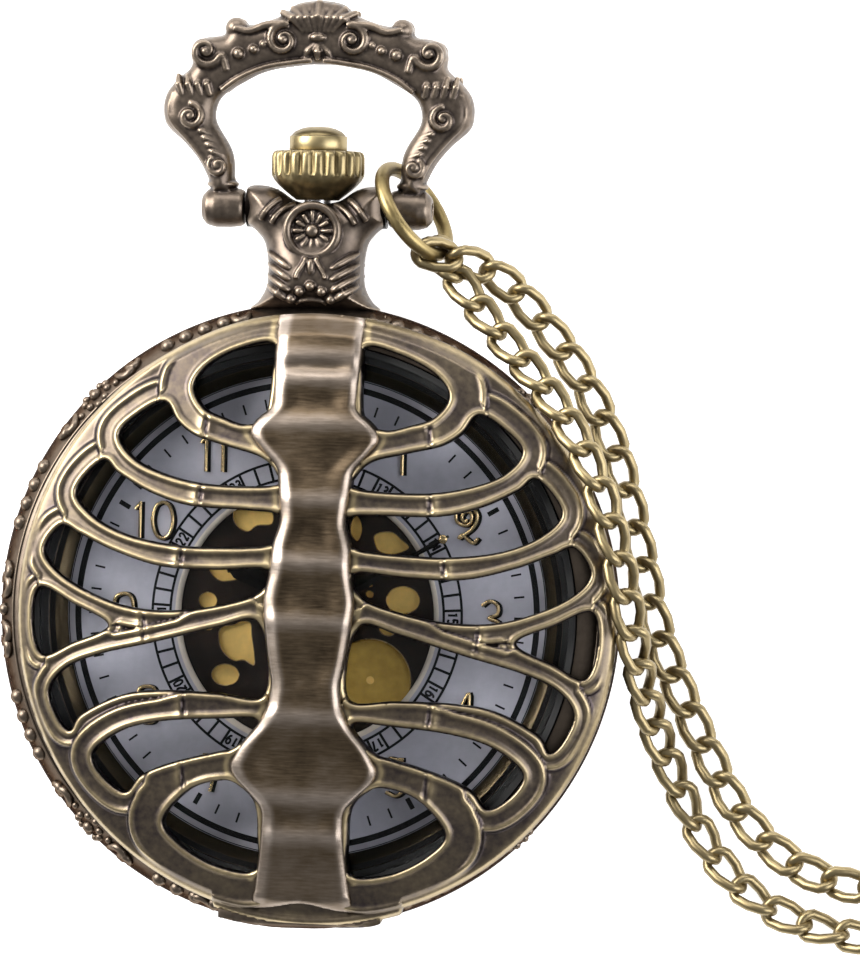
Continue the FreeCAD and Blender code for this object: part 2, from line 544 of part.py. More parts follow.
def make_electrics():
    nodes["battery"] = washer(2.9, 0, 1.15, 3.3, BATTERY_AXIS)
    nodes["battery_strap"] = box((-8.4, 3.0, 0.98), (-2.2, 4.0, 1.13))
    nodes["motor_coil"] = cylinder((7.6, -3.6, 2.3), Y_AXIS, 0.62, 6.4)
    stator = polygon_prism(((2.4, -0.3), (6.8, -3.4), (6.8, 2.6), (2.4, 1.9)), 1.66, 1.84)
    nodes["motor_stator"] = stator.cut(arbor(ROTOR_AXIS, 0.68, 1, 3))
    nodes["quartz_can"] = cylinder((-2.6, -7.6, 2.35), X_AXIS, 0.55, 4.6)
    nodes["circuit_board"] = box((-5.4, -7.0, 2.45), (-2.4, -3.6, 2.7)).cut(arbor(THIRD_AXIS, 3.4, 2, 3))


# ---------------------------------------------------------------- chain and clasp
def at_clasp(shape):
    placed = shape.copy()
    placed.rotate(Vector(0, 0, 0), Z_AXIS, CLASP_ANGLE_DEG)
    placed.translate(Vector(CLASP_START[0], CLASP_START[1], 0))
    return placed


def make_chain():
    nodes["chain_strand_inner"] = tube(STRAND_INNER, CHAIN_D, "inner strand")
    nodes["chain_strand_outer"] = tube(STRAND_OUTER, CHAIN_D, "outer strand")
    nodes["chain_coil_lower"] = washer(COIL_OUTER_R, COIL_INNER_R, 0.0, CHAIN_D, COIL_CENTRE)
    nodes["chain_coil_upper"] = washer(COIL_OUTER_R, COIL_INNER_R, CHAIN_D, 2 * CHAIN_D, COIL_CENTRE)


def make_clasp():
    low = CLASP_Z - CLASP_THICKNESS / 2
    high = CLASP_Z + CLASP_THICKNESS / 2
    hook = smooth_prism(((0.6, 0.9), (3.2, 2.1), (6.4, 2.0), (8.2, 0.4), (7.4, -1.7), (4.4, -2.3),
                         (1.4, -1.6)), low, high)
    hole = smooth_prism(((2.7, 0.9), (4.6, 1.2), (6.6, 0.9), (7.5, 0.0), (6.6, -1.0), (4.6, -1.3),
                         (2.9, -0.9)), low - 1, high + 1)
    eye = cylinder((0.2, 0, low), Z_AXIS, 1.1, high - low)
    hook = hook.fuse(eye).cut(hole).cut(cylinder((0.0, 0, low - 1), Z_AXIS, 0.6, 4))
    gap = box((2.55, -2.6, low - 1), (6.0, -0.95, high + 1))
    rivet = cylinder((2.0, -1.1, low), Z_AXIS, 0.3, high - low)
    slot = box((1.1, -2.4, CLASP_Z - 0.33), (2.6, -0.2, CLASP_Z + 0.33))
    nodes["clasp_body"] = at_clasp(hook.cut(gap).cut(slot).cut(rivet).removeSplitter())
    gate = polygon_prism(((1.5, -1.5), (2.0, -1.7), (5.9, -1.75), (5.9, -1.25), (2.6, -1.05), (1.7, -0.6)),
                         CLASP_Z - 0.28, CLASP_Z + 0.28)
    gate = gate.cut(cylinder((2.0, -1.1, 0), Z_AXIS, 0.3 + FIT, 4))
    nodes["clasp_gate"] = at_clasp(gate)
    nodes["clasp_rivet"] = at_clasp(rivet)
    ring = Part.makeTorus(1.7, 0.33, Vector(7.6, 0.0, CLASP_Z), Vector(0, 1, 1))
    nodes["clasp_ring"] = at_clasp(ring)


def main():
    os.makedirs("parts", exist_ok=True)
    make_case()
    make_cover()
    make_pendant()
    make_bow()
    make_crown()
    make_dial()
    make_hands()
    make_train()
    make_plates()
    make_electrics()
    make_chain()
    make_clasp()
    for name, shape in nodes.items():
        shape.exportStep(os.path.join("parts", name + ".step"))
        print(name, len(shape.Solids), round(shape.Volume, 3), shape.isValid())


main()
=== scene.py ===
"""Looks of the pocket watch: every visible piece, its material, the light and the camera.

All lengths are written in millimetres and turned into metres when a mesh is made.
"""

import json
import math
import random

import bmesh
import bpy
import numpy as np
from mathutils import Matrix, Vector
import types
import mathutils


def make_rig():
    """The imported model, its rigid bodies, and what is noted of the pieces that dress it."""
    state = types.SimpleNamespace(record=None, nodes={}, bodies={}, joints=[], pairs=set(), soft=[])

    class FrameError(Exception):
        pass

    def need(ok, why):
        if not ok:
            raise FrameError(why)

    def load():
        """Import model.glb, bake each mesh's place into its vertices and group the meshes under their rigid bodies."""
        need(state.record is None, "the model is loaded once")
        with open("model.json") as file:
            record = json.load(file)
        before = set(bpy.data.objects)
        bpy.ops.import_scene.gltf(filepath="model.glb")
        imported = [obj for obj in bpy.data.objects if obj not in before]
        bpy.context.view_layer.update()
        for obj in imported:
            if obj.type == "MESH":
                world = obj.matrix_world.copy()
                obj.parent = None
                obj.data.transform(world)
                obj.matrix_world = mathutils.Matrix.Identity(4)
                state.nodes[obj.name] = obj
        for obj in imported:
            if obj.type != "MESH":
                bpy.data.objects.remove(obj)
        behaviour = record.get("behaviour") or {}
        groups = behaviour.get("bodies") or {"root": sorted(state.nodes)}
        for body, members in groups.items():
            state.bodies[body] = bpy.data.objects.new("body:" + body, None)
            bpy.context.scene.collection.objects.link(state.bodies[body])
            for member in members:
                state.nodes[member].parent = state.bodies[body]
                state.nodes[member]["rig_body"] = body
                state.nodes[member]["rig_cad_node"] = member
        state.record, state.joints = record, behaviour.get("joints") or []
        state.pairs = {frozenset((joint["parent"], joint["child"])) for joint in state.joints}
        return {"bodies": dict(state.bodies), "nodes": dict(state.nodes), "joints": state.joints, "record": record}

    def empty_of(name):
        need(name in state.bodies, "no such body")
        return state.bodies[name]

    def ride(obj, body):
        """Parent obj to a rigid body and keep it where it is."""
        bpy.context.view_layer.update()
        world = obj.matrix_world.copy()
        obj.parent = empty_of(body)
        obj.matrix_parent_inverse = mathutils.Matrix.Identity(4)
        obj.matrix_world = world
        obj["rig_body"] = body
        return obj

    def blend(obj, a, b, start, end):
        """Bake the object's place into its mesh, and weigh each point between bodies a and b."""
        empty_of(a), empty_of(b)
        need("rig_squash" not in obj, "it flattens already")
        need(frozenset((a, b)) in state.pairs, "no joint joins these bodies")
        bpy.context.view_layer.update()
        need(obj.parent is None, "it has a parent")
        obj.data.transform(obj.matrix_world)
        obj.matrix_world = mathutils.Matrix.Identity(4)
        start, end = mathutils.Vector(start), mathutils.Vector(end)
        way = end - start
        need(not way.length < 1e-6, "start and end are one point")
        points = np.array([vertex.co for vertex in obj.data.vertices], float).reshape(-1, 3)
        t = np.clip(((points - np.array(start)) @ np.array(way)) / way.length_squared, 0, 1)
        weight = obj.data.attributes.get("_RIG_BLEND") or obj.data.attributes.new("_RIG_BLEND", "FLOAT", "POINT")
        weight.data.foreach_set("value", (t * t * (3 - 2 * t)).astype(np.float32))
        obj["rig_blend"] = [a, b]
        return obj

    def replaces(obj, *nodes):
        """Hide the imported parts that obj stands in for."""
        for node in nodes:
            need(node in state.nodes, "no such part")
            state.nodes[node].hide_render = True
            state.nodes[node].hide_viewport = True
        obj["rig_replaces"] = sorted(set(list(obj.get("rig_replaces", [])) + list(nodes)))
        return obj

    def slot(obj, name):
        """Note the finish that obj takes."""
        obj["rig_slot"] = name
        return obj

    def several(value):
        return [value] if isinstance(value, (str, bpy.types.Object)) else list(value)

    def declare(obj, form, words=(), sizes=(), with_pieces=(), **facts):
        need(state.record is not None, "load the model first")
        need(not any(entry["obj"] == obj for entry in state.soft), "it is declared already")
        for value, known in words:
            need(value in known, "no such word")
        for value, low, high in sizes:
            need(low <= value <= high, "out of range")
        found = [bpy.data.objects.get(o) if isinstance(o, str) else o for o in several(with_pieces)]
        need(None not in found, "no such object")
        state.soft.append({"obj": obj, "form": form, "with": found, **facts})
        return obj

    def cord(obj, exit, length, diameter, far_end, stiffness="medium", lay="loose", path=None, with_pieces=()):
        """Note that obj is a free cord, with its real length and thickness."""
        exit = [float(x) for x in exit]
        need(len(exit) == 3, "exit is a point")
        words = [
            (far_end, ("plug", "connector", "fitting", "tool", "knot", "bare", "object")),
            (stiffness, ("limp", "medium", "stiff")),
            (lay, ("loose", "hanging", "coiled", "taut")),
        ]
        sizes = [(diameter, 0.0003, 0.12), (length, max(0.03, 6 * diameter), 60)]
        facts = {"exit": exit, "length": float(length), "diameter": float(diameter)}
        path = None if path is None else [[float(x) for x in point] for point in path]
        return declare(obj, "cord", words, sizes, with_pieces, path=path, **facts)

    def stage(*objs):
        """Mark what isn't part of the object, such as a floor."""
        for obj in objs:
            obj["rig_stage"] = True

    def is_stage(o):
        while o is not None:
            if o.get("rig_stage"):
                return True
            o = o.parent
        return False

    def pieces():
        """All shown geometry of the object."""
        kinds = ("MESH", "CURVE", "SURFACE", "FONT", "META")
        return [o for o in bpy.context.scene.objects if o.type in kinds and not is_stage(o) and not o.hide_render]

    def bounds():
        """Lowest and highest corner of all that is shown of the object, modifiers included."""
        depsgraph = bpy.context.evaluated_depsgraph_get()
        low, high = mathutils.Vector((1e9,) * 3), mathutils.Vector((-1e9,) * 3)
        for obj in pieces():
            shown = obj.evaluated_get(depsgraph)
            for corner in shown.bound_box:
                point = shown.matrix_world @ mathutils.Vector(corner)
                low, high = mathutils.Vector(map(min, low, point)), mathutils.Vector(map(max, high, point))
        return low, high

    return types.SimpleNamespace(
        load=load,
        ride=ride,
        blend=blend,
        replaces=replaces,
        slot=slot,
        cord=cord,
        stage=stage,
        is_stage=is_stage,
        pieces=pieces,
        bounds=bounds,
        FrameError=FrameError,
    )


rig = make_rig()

MM = 0.001
AXIS_Z = 4.4             # height of the stem, crown, pendant and bow
CASE_R = 23.5            # outside of the case
HINGE_Y = -22.45         # the cover's hinge runs along X here
HINGE_Z = 7.85
COVER_PIVOT_Y = -23.5    # the cover is closed slightly askew about this point
COVER_SKEW = math.radians(-1.4)
DIAL_TOP = 6.3           # printed face of the dial
RANDOM = random.Random(7)

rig.load()
cad_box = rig.bounds()


# ---------------------------------------------------------------- mesh tools
def link(thing):
    bpy.context.scene.collection.objects.link(thing)


def around(count):
    """Evenly spaced angles of one full turn."""
    return [2 * math.pi * k / count for k in range(count)]


def polar(radius, angle, centre=(0, 0)):
    return centre[0] + radius * math.cos(angle), centre[1] + radius * math.sin(angle)


class Shape:
    """Collects points and faces, in millimetres, and becomes one object."""

    def __init__(self):
        self.points = []
        self.faces = []

    def add(self, points, faces):
        start = len(self.points)
        self.points.extend([tuple(p) for p in points])
        self.faces.extend([tuple(start + i for i in f) for f in faces])

    def tube(self, path, radius, sides=10, closed=False, flatten=1.0, up=None):
        """Sweeps a round (or flattened) section along a path; radius may be one per point."""
        path = [Vector(p) for p in path]
        count = len(path)
        radii = [radius] * count if isinstance(radius, (int, float)) else list(radius)
        normal = None
        rings = []
        for i, here in enumerate(path):
            after = path[(i + 1) % count] if closed else path[min(i + 1, count - 1)]
            before = path[(i - 1) % count] if closed else path[max(i - 1, 0)]
            along = (after - before).normalized()
            if up is not None:
                normal = Vector(up) - along * along.dot(Vector(up))
            elif normal is None:
                normal = along.orthogonal()
            else:
                normal = normal - along * along.dot(normal)
            normal.normalize()
            side = along.cross(normal)
            rings.append([
                here + side * (radii[i] * math.cos(a)) + normal * (radii[i] * flatten * math.sin(a))
                for a in around(sides)
            ])
        points = [p for ring in rings for p in ring]
        faces = []
        for i in range(count if closed else count - 1):
            j = (i + 1) % count
            for k in range(sides):
                m = (k + 1) % sides
                faces.append((i * sides + k, i * sides + m, j * sides + m, j * sides + k))
        if not closed:
            faces.append(tuple(range(sides))[::-1])
            faces.append(tuple((count - 1) * sides + k for k in range(sides)))
        self.add(points, faces)

    def ball(self, centre, radius, squash=(1, 1, 1), segments=14, rings=9):
        points = [Vector((0, 0, 1))]
        for i in range(1, rings):
            t = math.pi * i / rings
            points += [Vector((*polar(math.sin(t), a), math.cos(t))) for a in around(segments)]
        points.append(Vector((0, 0, -1)))
        last = len(points) - 1
        faces = []
        for k in range(segments):
            m = (k + 1) % segments
            faces.append((0, 1 + k, 1 + m))
            faces.append((last, last - segments + m, last - segments + k))
            for i in range(rings - 2):
                a = 1 + i * segments
                faces.append((a + k, a + segments + k, a + segments + m, a + m))
        scale = Vector(squash) * radius
        self.add([Vector(centre) + p * scale for p in points], faces)

    def revolve(self, profile, axis="Z", centre=(0, 0, 0), segments=96, closed=True):
        """Turns a closed (radius, height) outline about an axis through the centre."""
        points = []
        for a in around(segments):
            for r, h in profile:
                if axis == "Z":
                    p = (*polar(r, a), h)
                elif axis == "Y":
                    p = (r * math.sin(a), h, r * math.cos(a))
                else:
                    p = (h, r * math.cos(a), r * math.sin(a))
                points.append(Vector(centre) + Vector(p))
        n = len(profile)
        faces = []
        for k in range(segments):
            m = (k + 1) % segments
            for i in range(n if closed else n - 1):
                j = (i + 1) % n
                faces.append((k * n + i, m * n + i, m * n + j, k * n + j))
        self.add(points, faces)

    def build(self, name, material, body, smooth_deg=40.0, slot=None, wear_and_painted_light=True):
        mesh = bpy.data.meshes.new(name)
        mesh.from_pydata([Vector(p) * MM for p in self.points], [], self.faces)
        mesh.update()
        return finish_mesh(mesh, name, material, body, smooth_deg, slot, wear_and_painted_light)


def finish_mesh(mesh, name, material, body, smooth_deg=40.0, slot=None, wear_and_painted_light=True):
    weld_and_orient(mesh)
    mesh.shade_smooth()
    mesh.set_sharp_from_angle(angle=math.radians(smooth_deg))
    if wear_and_painted_light:
        add_wear(mesh)
    mesh.materials.append(material)
    piece = bpy.data.objects.new(name, mesh)
    link(piece)
    if body:
        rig.ride(piece, body)
    if slot:
        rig.slot(piece, slot)
    return piece


def weld_and_orient(mesh):
    work = bmesh.new()
    work.from_mesh(mesh)
    bmesh.ops.remove_doubles(work, verts=work.verts, dist=1e-7)
    bmesh.ops.recalc_face_normals(work, faces=work.faces)
    work.to_mesh(mesh)
    work.free()


def read_rows(items, key, width, kind=float):
    values = np.empty(len(items) * width, dtype=kind)
    items.foreach_get(key, values)
    return values.reshape(-1, width)


def store_wear(mesh, value):
    layer = mesh.attributes.new("wear_and_painted_light", "FLOAT", "POINT")
    layer.data.foreach_set("value", value.astype(np.float32))


def add_wear(mesh, passes=3):
    """Stores how much each point stands proud (towards 1) or lies in a hollow (towards 0), so that hollows are painted
    dark, as patina and painted shade, and proud parts light.
    """
    count = len(mesh.vertices)
    points = read_rows(mesh.vertices, "co", 3)
    normals = read_rows(mesh.vertices, "normal", 3)
    a, b = read_rows(mesh.edges, "vertices", 2, np.int64).T
    step = points[b] - points[a]
    length = np.maximum(np.linalg.norm(step, axis=1), 1e-9)
    step /= length[:, None]
    bend = np.zeros(count)
    links = np.zeros(count)
    np.add.at(bend, a, -(normals[a] * step).sum(1))
    np.add.at(bend, b, (normals[b] * step).sum(1))
    np.add.at(links, a, 1)
    np.add.at(links, b, 1)
    links = np.maximum(links, 1)
    bend /= links
    for _ in range(passes):
        total = bend.copy()
        np.add.at(total, a, bend[b])
        np.add.at(total, b, bend[a])
        bend = total / (links + 1)
    store_wear(mesh, np.clip(0.5 + bend * 2.2, 0.0, 1.0))


def remeshed(shape, voxel):
    """Fuses a shape's overlapping solids into one cast-looking skin, still in millimetres."""
    mesh = bpy.data.meshes.new("raw")
    mesh.from_pydata([Vector(p) for p in shape.points], [], shape.faces)
    weld_and_orient(mesh)
    raw = bpy.data.objects.new("raw", mesh)
    link(raw)
    remesh = raw.modifiers.new("fuse", "REMESH")
    remesh.mode = "VOXEL"
    remesh.voxel_size = voxel
    smooth = raw.modifiers.new("soften", "SMOOTH")
    smooth.iterations = 2
    smooth.factor = 0.5
    skin = bpy.data.meshes.new_from_object(raw.evaluated_get(bpy.context.evaluated_depsgraph_get()))
    bpy.data.objects.remove(raw)
    for vertex in skin.vertices:
        vertex.co *= MM
    return skin


def sheet(inside, top, bottom, low, high, step):
    """A plate over the part of a grid where inside(x, y) > 0, cut exactly at its zero line."""
    nx = int(round((high[0] - low[0]) / step)) + 1
    ny = int(round((high[1] - low[1]) / step)) + 1
    xs = np.linspace(low[0], high[0], nx)
    ys = np.linspace(low[1], high[1], ny)
    x, y = np.meshgrid(xs, ys, indexing="ij")
    field = inside(x, y)
    used = field > 0
    index = -np.ones(field.shape, dtype=np.int64)
    index[used] = np.arange(used.sum())
    snap = used & (field < 0.45 * step)
    slope_x, slope_y = np.gradient(field, step)
    steep = np.maximum(slope_x ** 2 + slope_y ** 2, 0.3)
    x_snapped = np.where(snap, x - slope_x * field / steep, x)
    y_snapped = np.where(snap, y - slope_y * field / steep, y)
    flat = list(zip(x_snapped[used], y_snapped[used]))
    faces = []
    rims = []
    crossing = {}

    def cross(p, q):
        key = (p, q) if p < q else (q, p)
        if key not in crossing:
            f0, f1 = field[key[0]], field[key[1]]
            t = min(max(f0 / (f0 - f1), 0.02), 0.98)
            crossing[key] = len(flat)
            flat.append((x[key[0]] * (1 - t) + x[key[1]] * t, y[key[0]] * (1 - t) + y[key[1]] * t))
        return crossing[key]

    for i in range(nx - 1):
        row = used[i:i + 2]
        if not row.any():
            continue
        for j in range(ny - 1):
            corners = ((i, j), (i + 1, j), (i + 1, j + 1), (i, j + 1))
            state = [used[c] for c in corners]
            inside_count = sum(state)
            if inside_count == 4:
                faces.append([index[c] for c in corners])
                continue
            if inside_count == 0:
                continue
            loop = []
            marks = []
            for k in range(4):
                p, q = corners[k], corners[(k + 1) % 4]
                if state[k]:
                    loop.append(index[p])
                if state[k] != state[(k + 1) % 4]:
                    loop.append(cross(p, q))
                    marks.append((loop[-1], state[k]))
            faces.append(loop)
            for k, (vertex, leaving) in enumerate(marks):
                if leaving:
                    rims.append((vertex, marks[(k + 1) % len(marks)][0]))
    flat = np.array(flat)
    upper = np.column_stack([flat, top(flat[:, 0], flat[:, 1])])
    lower = np.column_stack([flat, bottom(flat[:, 0], flat[:, 1])])
    n = len(flat)
    shape = Shape()
    all_faces = [tuple(int(v) for v in f) for f in faces]
    all_faces += [tuple(int(v) + n for v in f[::-1]) for f in faces]
    all_faces += [(int(b), int(a), int(a) + n, int(b) + n) for a, b in rims]
    shape.add(np.vstack([upper, lower]).tolist(), all_faces)
    return shape


def spline_span(a, b, c, d, steps):
    """The Catmull-Rom curve from b to c, without its last point."""
    return [0.5 * (2 * b + (c - a) * t + (2 * a - 5 * b + 4 * c - d) * t * t
                   + (3 * b - a - 3 * c + d) * t ** 3) for t in (k / steps for k in range(steps))]


def smooth_loop(points, per_span):
    """A closed curve through the points."""
    pts = np.array(points, dtype=float)
    n = len(pts)
    out = []
    for i in range(n):
        out += spline_span(pts[i - 1], pts[i], pts[(i + 1) % n], pts[(i + 2) % n], per_span)
    return np.array(out)


def smooth_line(points, per_span):
    """An open curve through the points, as a list of tuples."""
    pts = np.array(points, dtype=float)
    pts = np.vstack([2 * pts[0] - pts[1], pts, 2 * pts[-1] - pts[-2]])
    out = []
    for i in range(1, len(pts) - 2):
        out += [tuple(p) for p in spline_span(*pts[i - 1:i + 3], per_span)]
    out.append(tuple(pts[-2]))
    return out


def loop_distance(loop, x, y):
    """Signed distance to a closed loop, positive outside it."""
    shape = x.shape
    px, py = x.ravel(), y.ravel()
    best = np.full(px.shape, 1e9)
    odd = np.zeros(px.shape, dtype=bool)
    for (ax, ay), (bx, by) in zip(loop, np.roll(loop, -1, axis=0)):
        dx, dy = bx - ax, by - ay
        t = np.clip(((px - ax) * dx + (py - ay) * dy) / (dx * dx + dy * dy + 1e-12), 0, 1)
        best = np.minimum(best, (px - ax - t * dx) ** 2 + (py - ay - t * dy) ** 2)
        crosses = (ay > py) != (by > py)
        with np.errstate(divide="ignore", invalid="ignore"):
            at = ax + (py - ay) * dx / (dy if dy else 1e-12)
        odd ^= crosses & (px < at)
    distance = np.sqrt(best)
    return np.where(odd, -distance, distance).reshape(shape)


def ramp(value, low, high):
    """Smooth step from 0 at low to 1 at high."""
    t = np.clip((value - low) / (high - low), 0, 1)
    return t * t * (3 - 2 * t)


def bump(value, centre, width):
    return np.exp(-((value - centre) / width) ** 2)


# ---------------------------------------------------------------- materials
def new_material(name):
    material = bpy.data.materials.new(name)
    material.use_nodes = True
    tree = material.node_tree
    shader = tree.nodes["Principled BSDF"]
    return material, tree, shader


def node(tree, kind, **settings):
    made = tree.nodes.new(kind)
    for key, value in settings.items():
        setattr(made, key, value)
    return made


def noise(tree, scale, detail=4.0, stretch=(1, 1, 1), roughness=0.55):
    place = node(tree, "ShaderNodeTexCoord")
    mapping = node(tree, "ShaderNodeMapping")
    mapping.inputs["Scale"].default_value = [s * 1000.0 for s in stretch]
    texture = node(tree, "ShaderNodeTexNoise")
    texture.inputs["Scale"].default_value = scale
    texture.inputs["Detail"].default_value = detail
    texture.inputs["Roughness"].default_value = roughness
    tree.links.new(place.outputs["Object"], mapping.inputs["Vector"])
    tree.links.new(mapping.outputs["Vector"], texture.inputs["Vector"])
    return texture.outputs["Fac"]


def colour_ramp(tree, source, stops):
    made = node(tree, "ShaderNodeValToRGB")
    elements = made.color_ramp.elements
    while len(elements) < len(stops):
        elements.new(0.5)
    for element, (place, colour) in zip(elements, stops):
        element.position = place
        element.color = (*colour, 1.0) if len(colour) == 3 else colour
    tree.links.new(source, made.inputs["Fac"])
    return made.outputs["Color"]


def math_node(tree, operation, a, b):
    made = node(tree, "ShaderNodeMath", operation=operation)
    for socket, value in zip(made.inputs, (a, b)):
        if isinstance(value, (int, float)):
            socket.default_value = value
        else:
            tree.links.new(value, socket)
    return made.outputs[0]


def plus_share(tree, base, source, share):
    """base + source * share, for each of them a number or a socket."""
    return math_node(tree, "ADD", base, math_node(tree, "MULTIPLY", source, share))


def two_tone(tree, source, colour, darker, lighter):
    dark = tuple(c * (1 - darker) for c in colour)
    light = tuple(min(c * (1 + lighter), 1.0) for c in colour)
    return colour_ramp(tree, source, [(0.3, dark), (0.7, light)])


def add_bump(tree, shader, height, strength, distance_mm):
    made = node(tree, "ShaderNodeBump")
    made.inputs["Strength"].default_value = strength
    made.inputs["Distance"].default_value = distance_mm * MM
    tree.links.new(height, made.inputs["Height"])
    tree.links.new(made.outputs["Normal"], shader.inputs["Normal"])


def aged_metal(name, hollow, middle, proud, grain=(1.0, 1.0, 1.0), edge=(1.0, 1.0, 1.0)):
    """Antiqued brass, finely brushed: dark in the hollows as patina and painted shade, bright where it stands proud as
    rubbed wear and painted highlight.
    """
    material, tree, shader = new_material(name)
    wear_and_painted_light = node(tree, "ShaderNodeAttribute", attribute_name="wear_and_painted_light").outputs["Fac"]
    mottle = noise(tree, 0.35, 5.0)
    fine = noise(tree, 2.2, 3.0, grain)
    level = plus_share(tree, wear_and_painted_light, math_node(tree, "SUBTRACT", mottle, 0.5), 0.35)
    level = plus_share(tree, level, math_node(tree, "SUBTRACT", fine, 0.5), 0.22)
    between = tuple(m + (p - m) * 0.36 for m, p in zip(middle, proud))
    colour = colour_ramp(tree, level, [(0.12, hollow), (0.34, middle), (0.58, between), (0.86, proud)])
    tree.links.new(colour, shader.inputs["Base Color"])
    shader.inputs["Metallic"].default_value = 1.0
    shader.inputs["Specular Tint"].default_value = (*edge, 1.0)
    tree.links.new(plus_share(tree, 0.30, fine, 0.46 - 0.30), shader.inputs["Roughness"])
    add_bump(tree, shader, plus_share(tree, fine, mottle, 0.6), 0.20, 0.03)
    return material


def plain_metal(name, colour, roughness, grain_scale=3.0, variation=0.12):
    material, tree, shader = new_material(name)
    fine = noise(tree, grain_scale, 3.0)
    tree.links.new(two_tone(tree, fine, colour, variation * 2, variation), shader.inputs["Base Color"])
    shader.inputs["Metallic"].default_value = 1.0
    tree.links.new(plus_share(tree, roughness, fine, 0.12), shader.inputs["Roughness"])
    add_bump(tree, shader, fine, 0.15, 0.01)
    return material


def coated(name, colour, roughness, variation=0.06, metallic=0.0, gloss=0.5):
    material, tree, shader = new_material(name)
    fine = noise(tree, 1.2, 5.0)
    tree.links.new(two_tone(tree, fine, colour, variation, variation), shader.inputs["Base Color"])
    shader.inputs["Metallic"].default_value = metallic
    shader.inputs["Specular IOR Level"].default_value = gloss
    tree.links.new(plus_share(tree, roughness, fine, 0.1), shader.inputs["Roughness"])
    add_bump(tree, shader, fine, 0.1, 0.01)
    return material


def glass():
    material, tree, shader = new_material("crystal glass")
    shader.inputs["Base Color"].default_value = (0.98, 0.99, 1.0, 1.0)
    shader.inputs["Transmission Weight"].default_value = 1.0
    shader.inputs["IOR"].default_value = 1.12
    dust = noise(tree, 0.8, 6.0)
    rough = math_node(tree, "MULTIPLY", dust, 0.02)
    tree.links.new(rough, shader.inputs["Roughness"])
    return material


# Colours of aged metal: in the hollows (patina and painted shade), in between, and where it stands proud (rubbed wear
# and painted highlight).
COVER = aged_metal("aged cover brass", (0.006, 0.004, 0.003), (0.062, 0.050, 0.050),
                   (0.40, 0.32, 0.19))
SPINE = aged_metal("brushed spine brass", (0.008, 0.005, 0.003), (0.115, 0.084, 0.054),
                   (0.43, 0.365, 0.315), grain=(0.35, 3.0, 1.0))
ANTIQUE = aged_metal("antique case brass", (0.008, 0.006, 0.005), (0.048, 0.038, 0.034),
                     (0.36, 0.288, 0.22))
BAND = aged_metal("dark band brass", (0.006, 0.005, 0.004), (0.030, 0.024, 0.022), (0.17, 0.135, 0.105),
                  edge=(0.22, 0.19, 0.18))
CROWN = aged_metal("crown brass", (0.012, 0.008, 0.004), (0.090, 0.066, 0.030), (0.36, 0.29, 0.155))
CHAIN = aged_metal("chain brass", (0.012, 0.009, 0.004), (0.075, 0.058, 0.028), (0.28, 0.222, 0.12))
RING = aged_metal("ring brass", (0.02, 0.014, 0.006), (0.110, 0.080, 0.032), (0.36, 0.28, 0.13))
BEZEL = plain_metal("satin bronze", (0.052, 0.039, 0.023), 0.26)
GILT = plain_metal("gilt", (0.68, 0.46, 0.13), 0.22)
GOLD = plain_metal("numeral gold", (0.62, 0.46, 0.24), 0.2, grain_scale=0.6, variation=0.05)
STEEL = plain_metal("satin steel", (0.55, 0.55, 0.57), 0.28)
DIAL = coated("dial paint", (0.42, 0.415, 0.475), 0.42)
INK = coated("black print", (0.007, 0.007, 0.008), 0.45, gloss=0.12)
GREY_RING = coated("grey print", (0.32, 0.31, 0.35), 0.4)
BROWN = coated("brown plate", (0.014, 0.008, 0.005), 0.35, 0.3, gloss=0.2)
BLACK = coated("black enamel", (0.006, 0.005, 0.005), 0.3, gloss=0.12)
RUBBER = coated("seal rubber", (0.02, 0.02, 0.02), 0.7)
# The pale ring at the dial's opening is a painted highlight.
PALE_EDGE_HIGHLIGHT = coated("pale edge highlight", (0.68, 0.61, 0.52), 0.3)
WINDOW_GOLD = coated("window gold", (0.86, 0.58, 0.17), 0.4, 0.1, metallic=0.35)
BARREL = coated("barrel gold", (0.50, 0.32, 0.07), 0.35, 0.15, metallic=0.4)
NYLON = coated("white nylon", (0.62, 0.62, 0.58), 0.5)
COPPER = plain_metal("copper wire", (0.62, 0.25, 0.12), 0.35)
BOARD = coated("circuit board", (0.03, 0.16, 0.07), 0.4)
GLASS = glass()


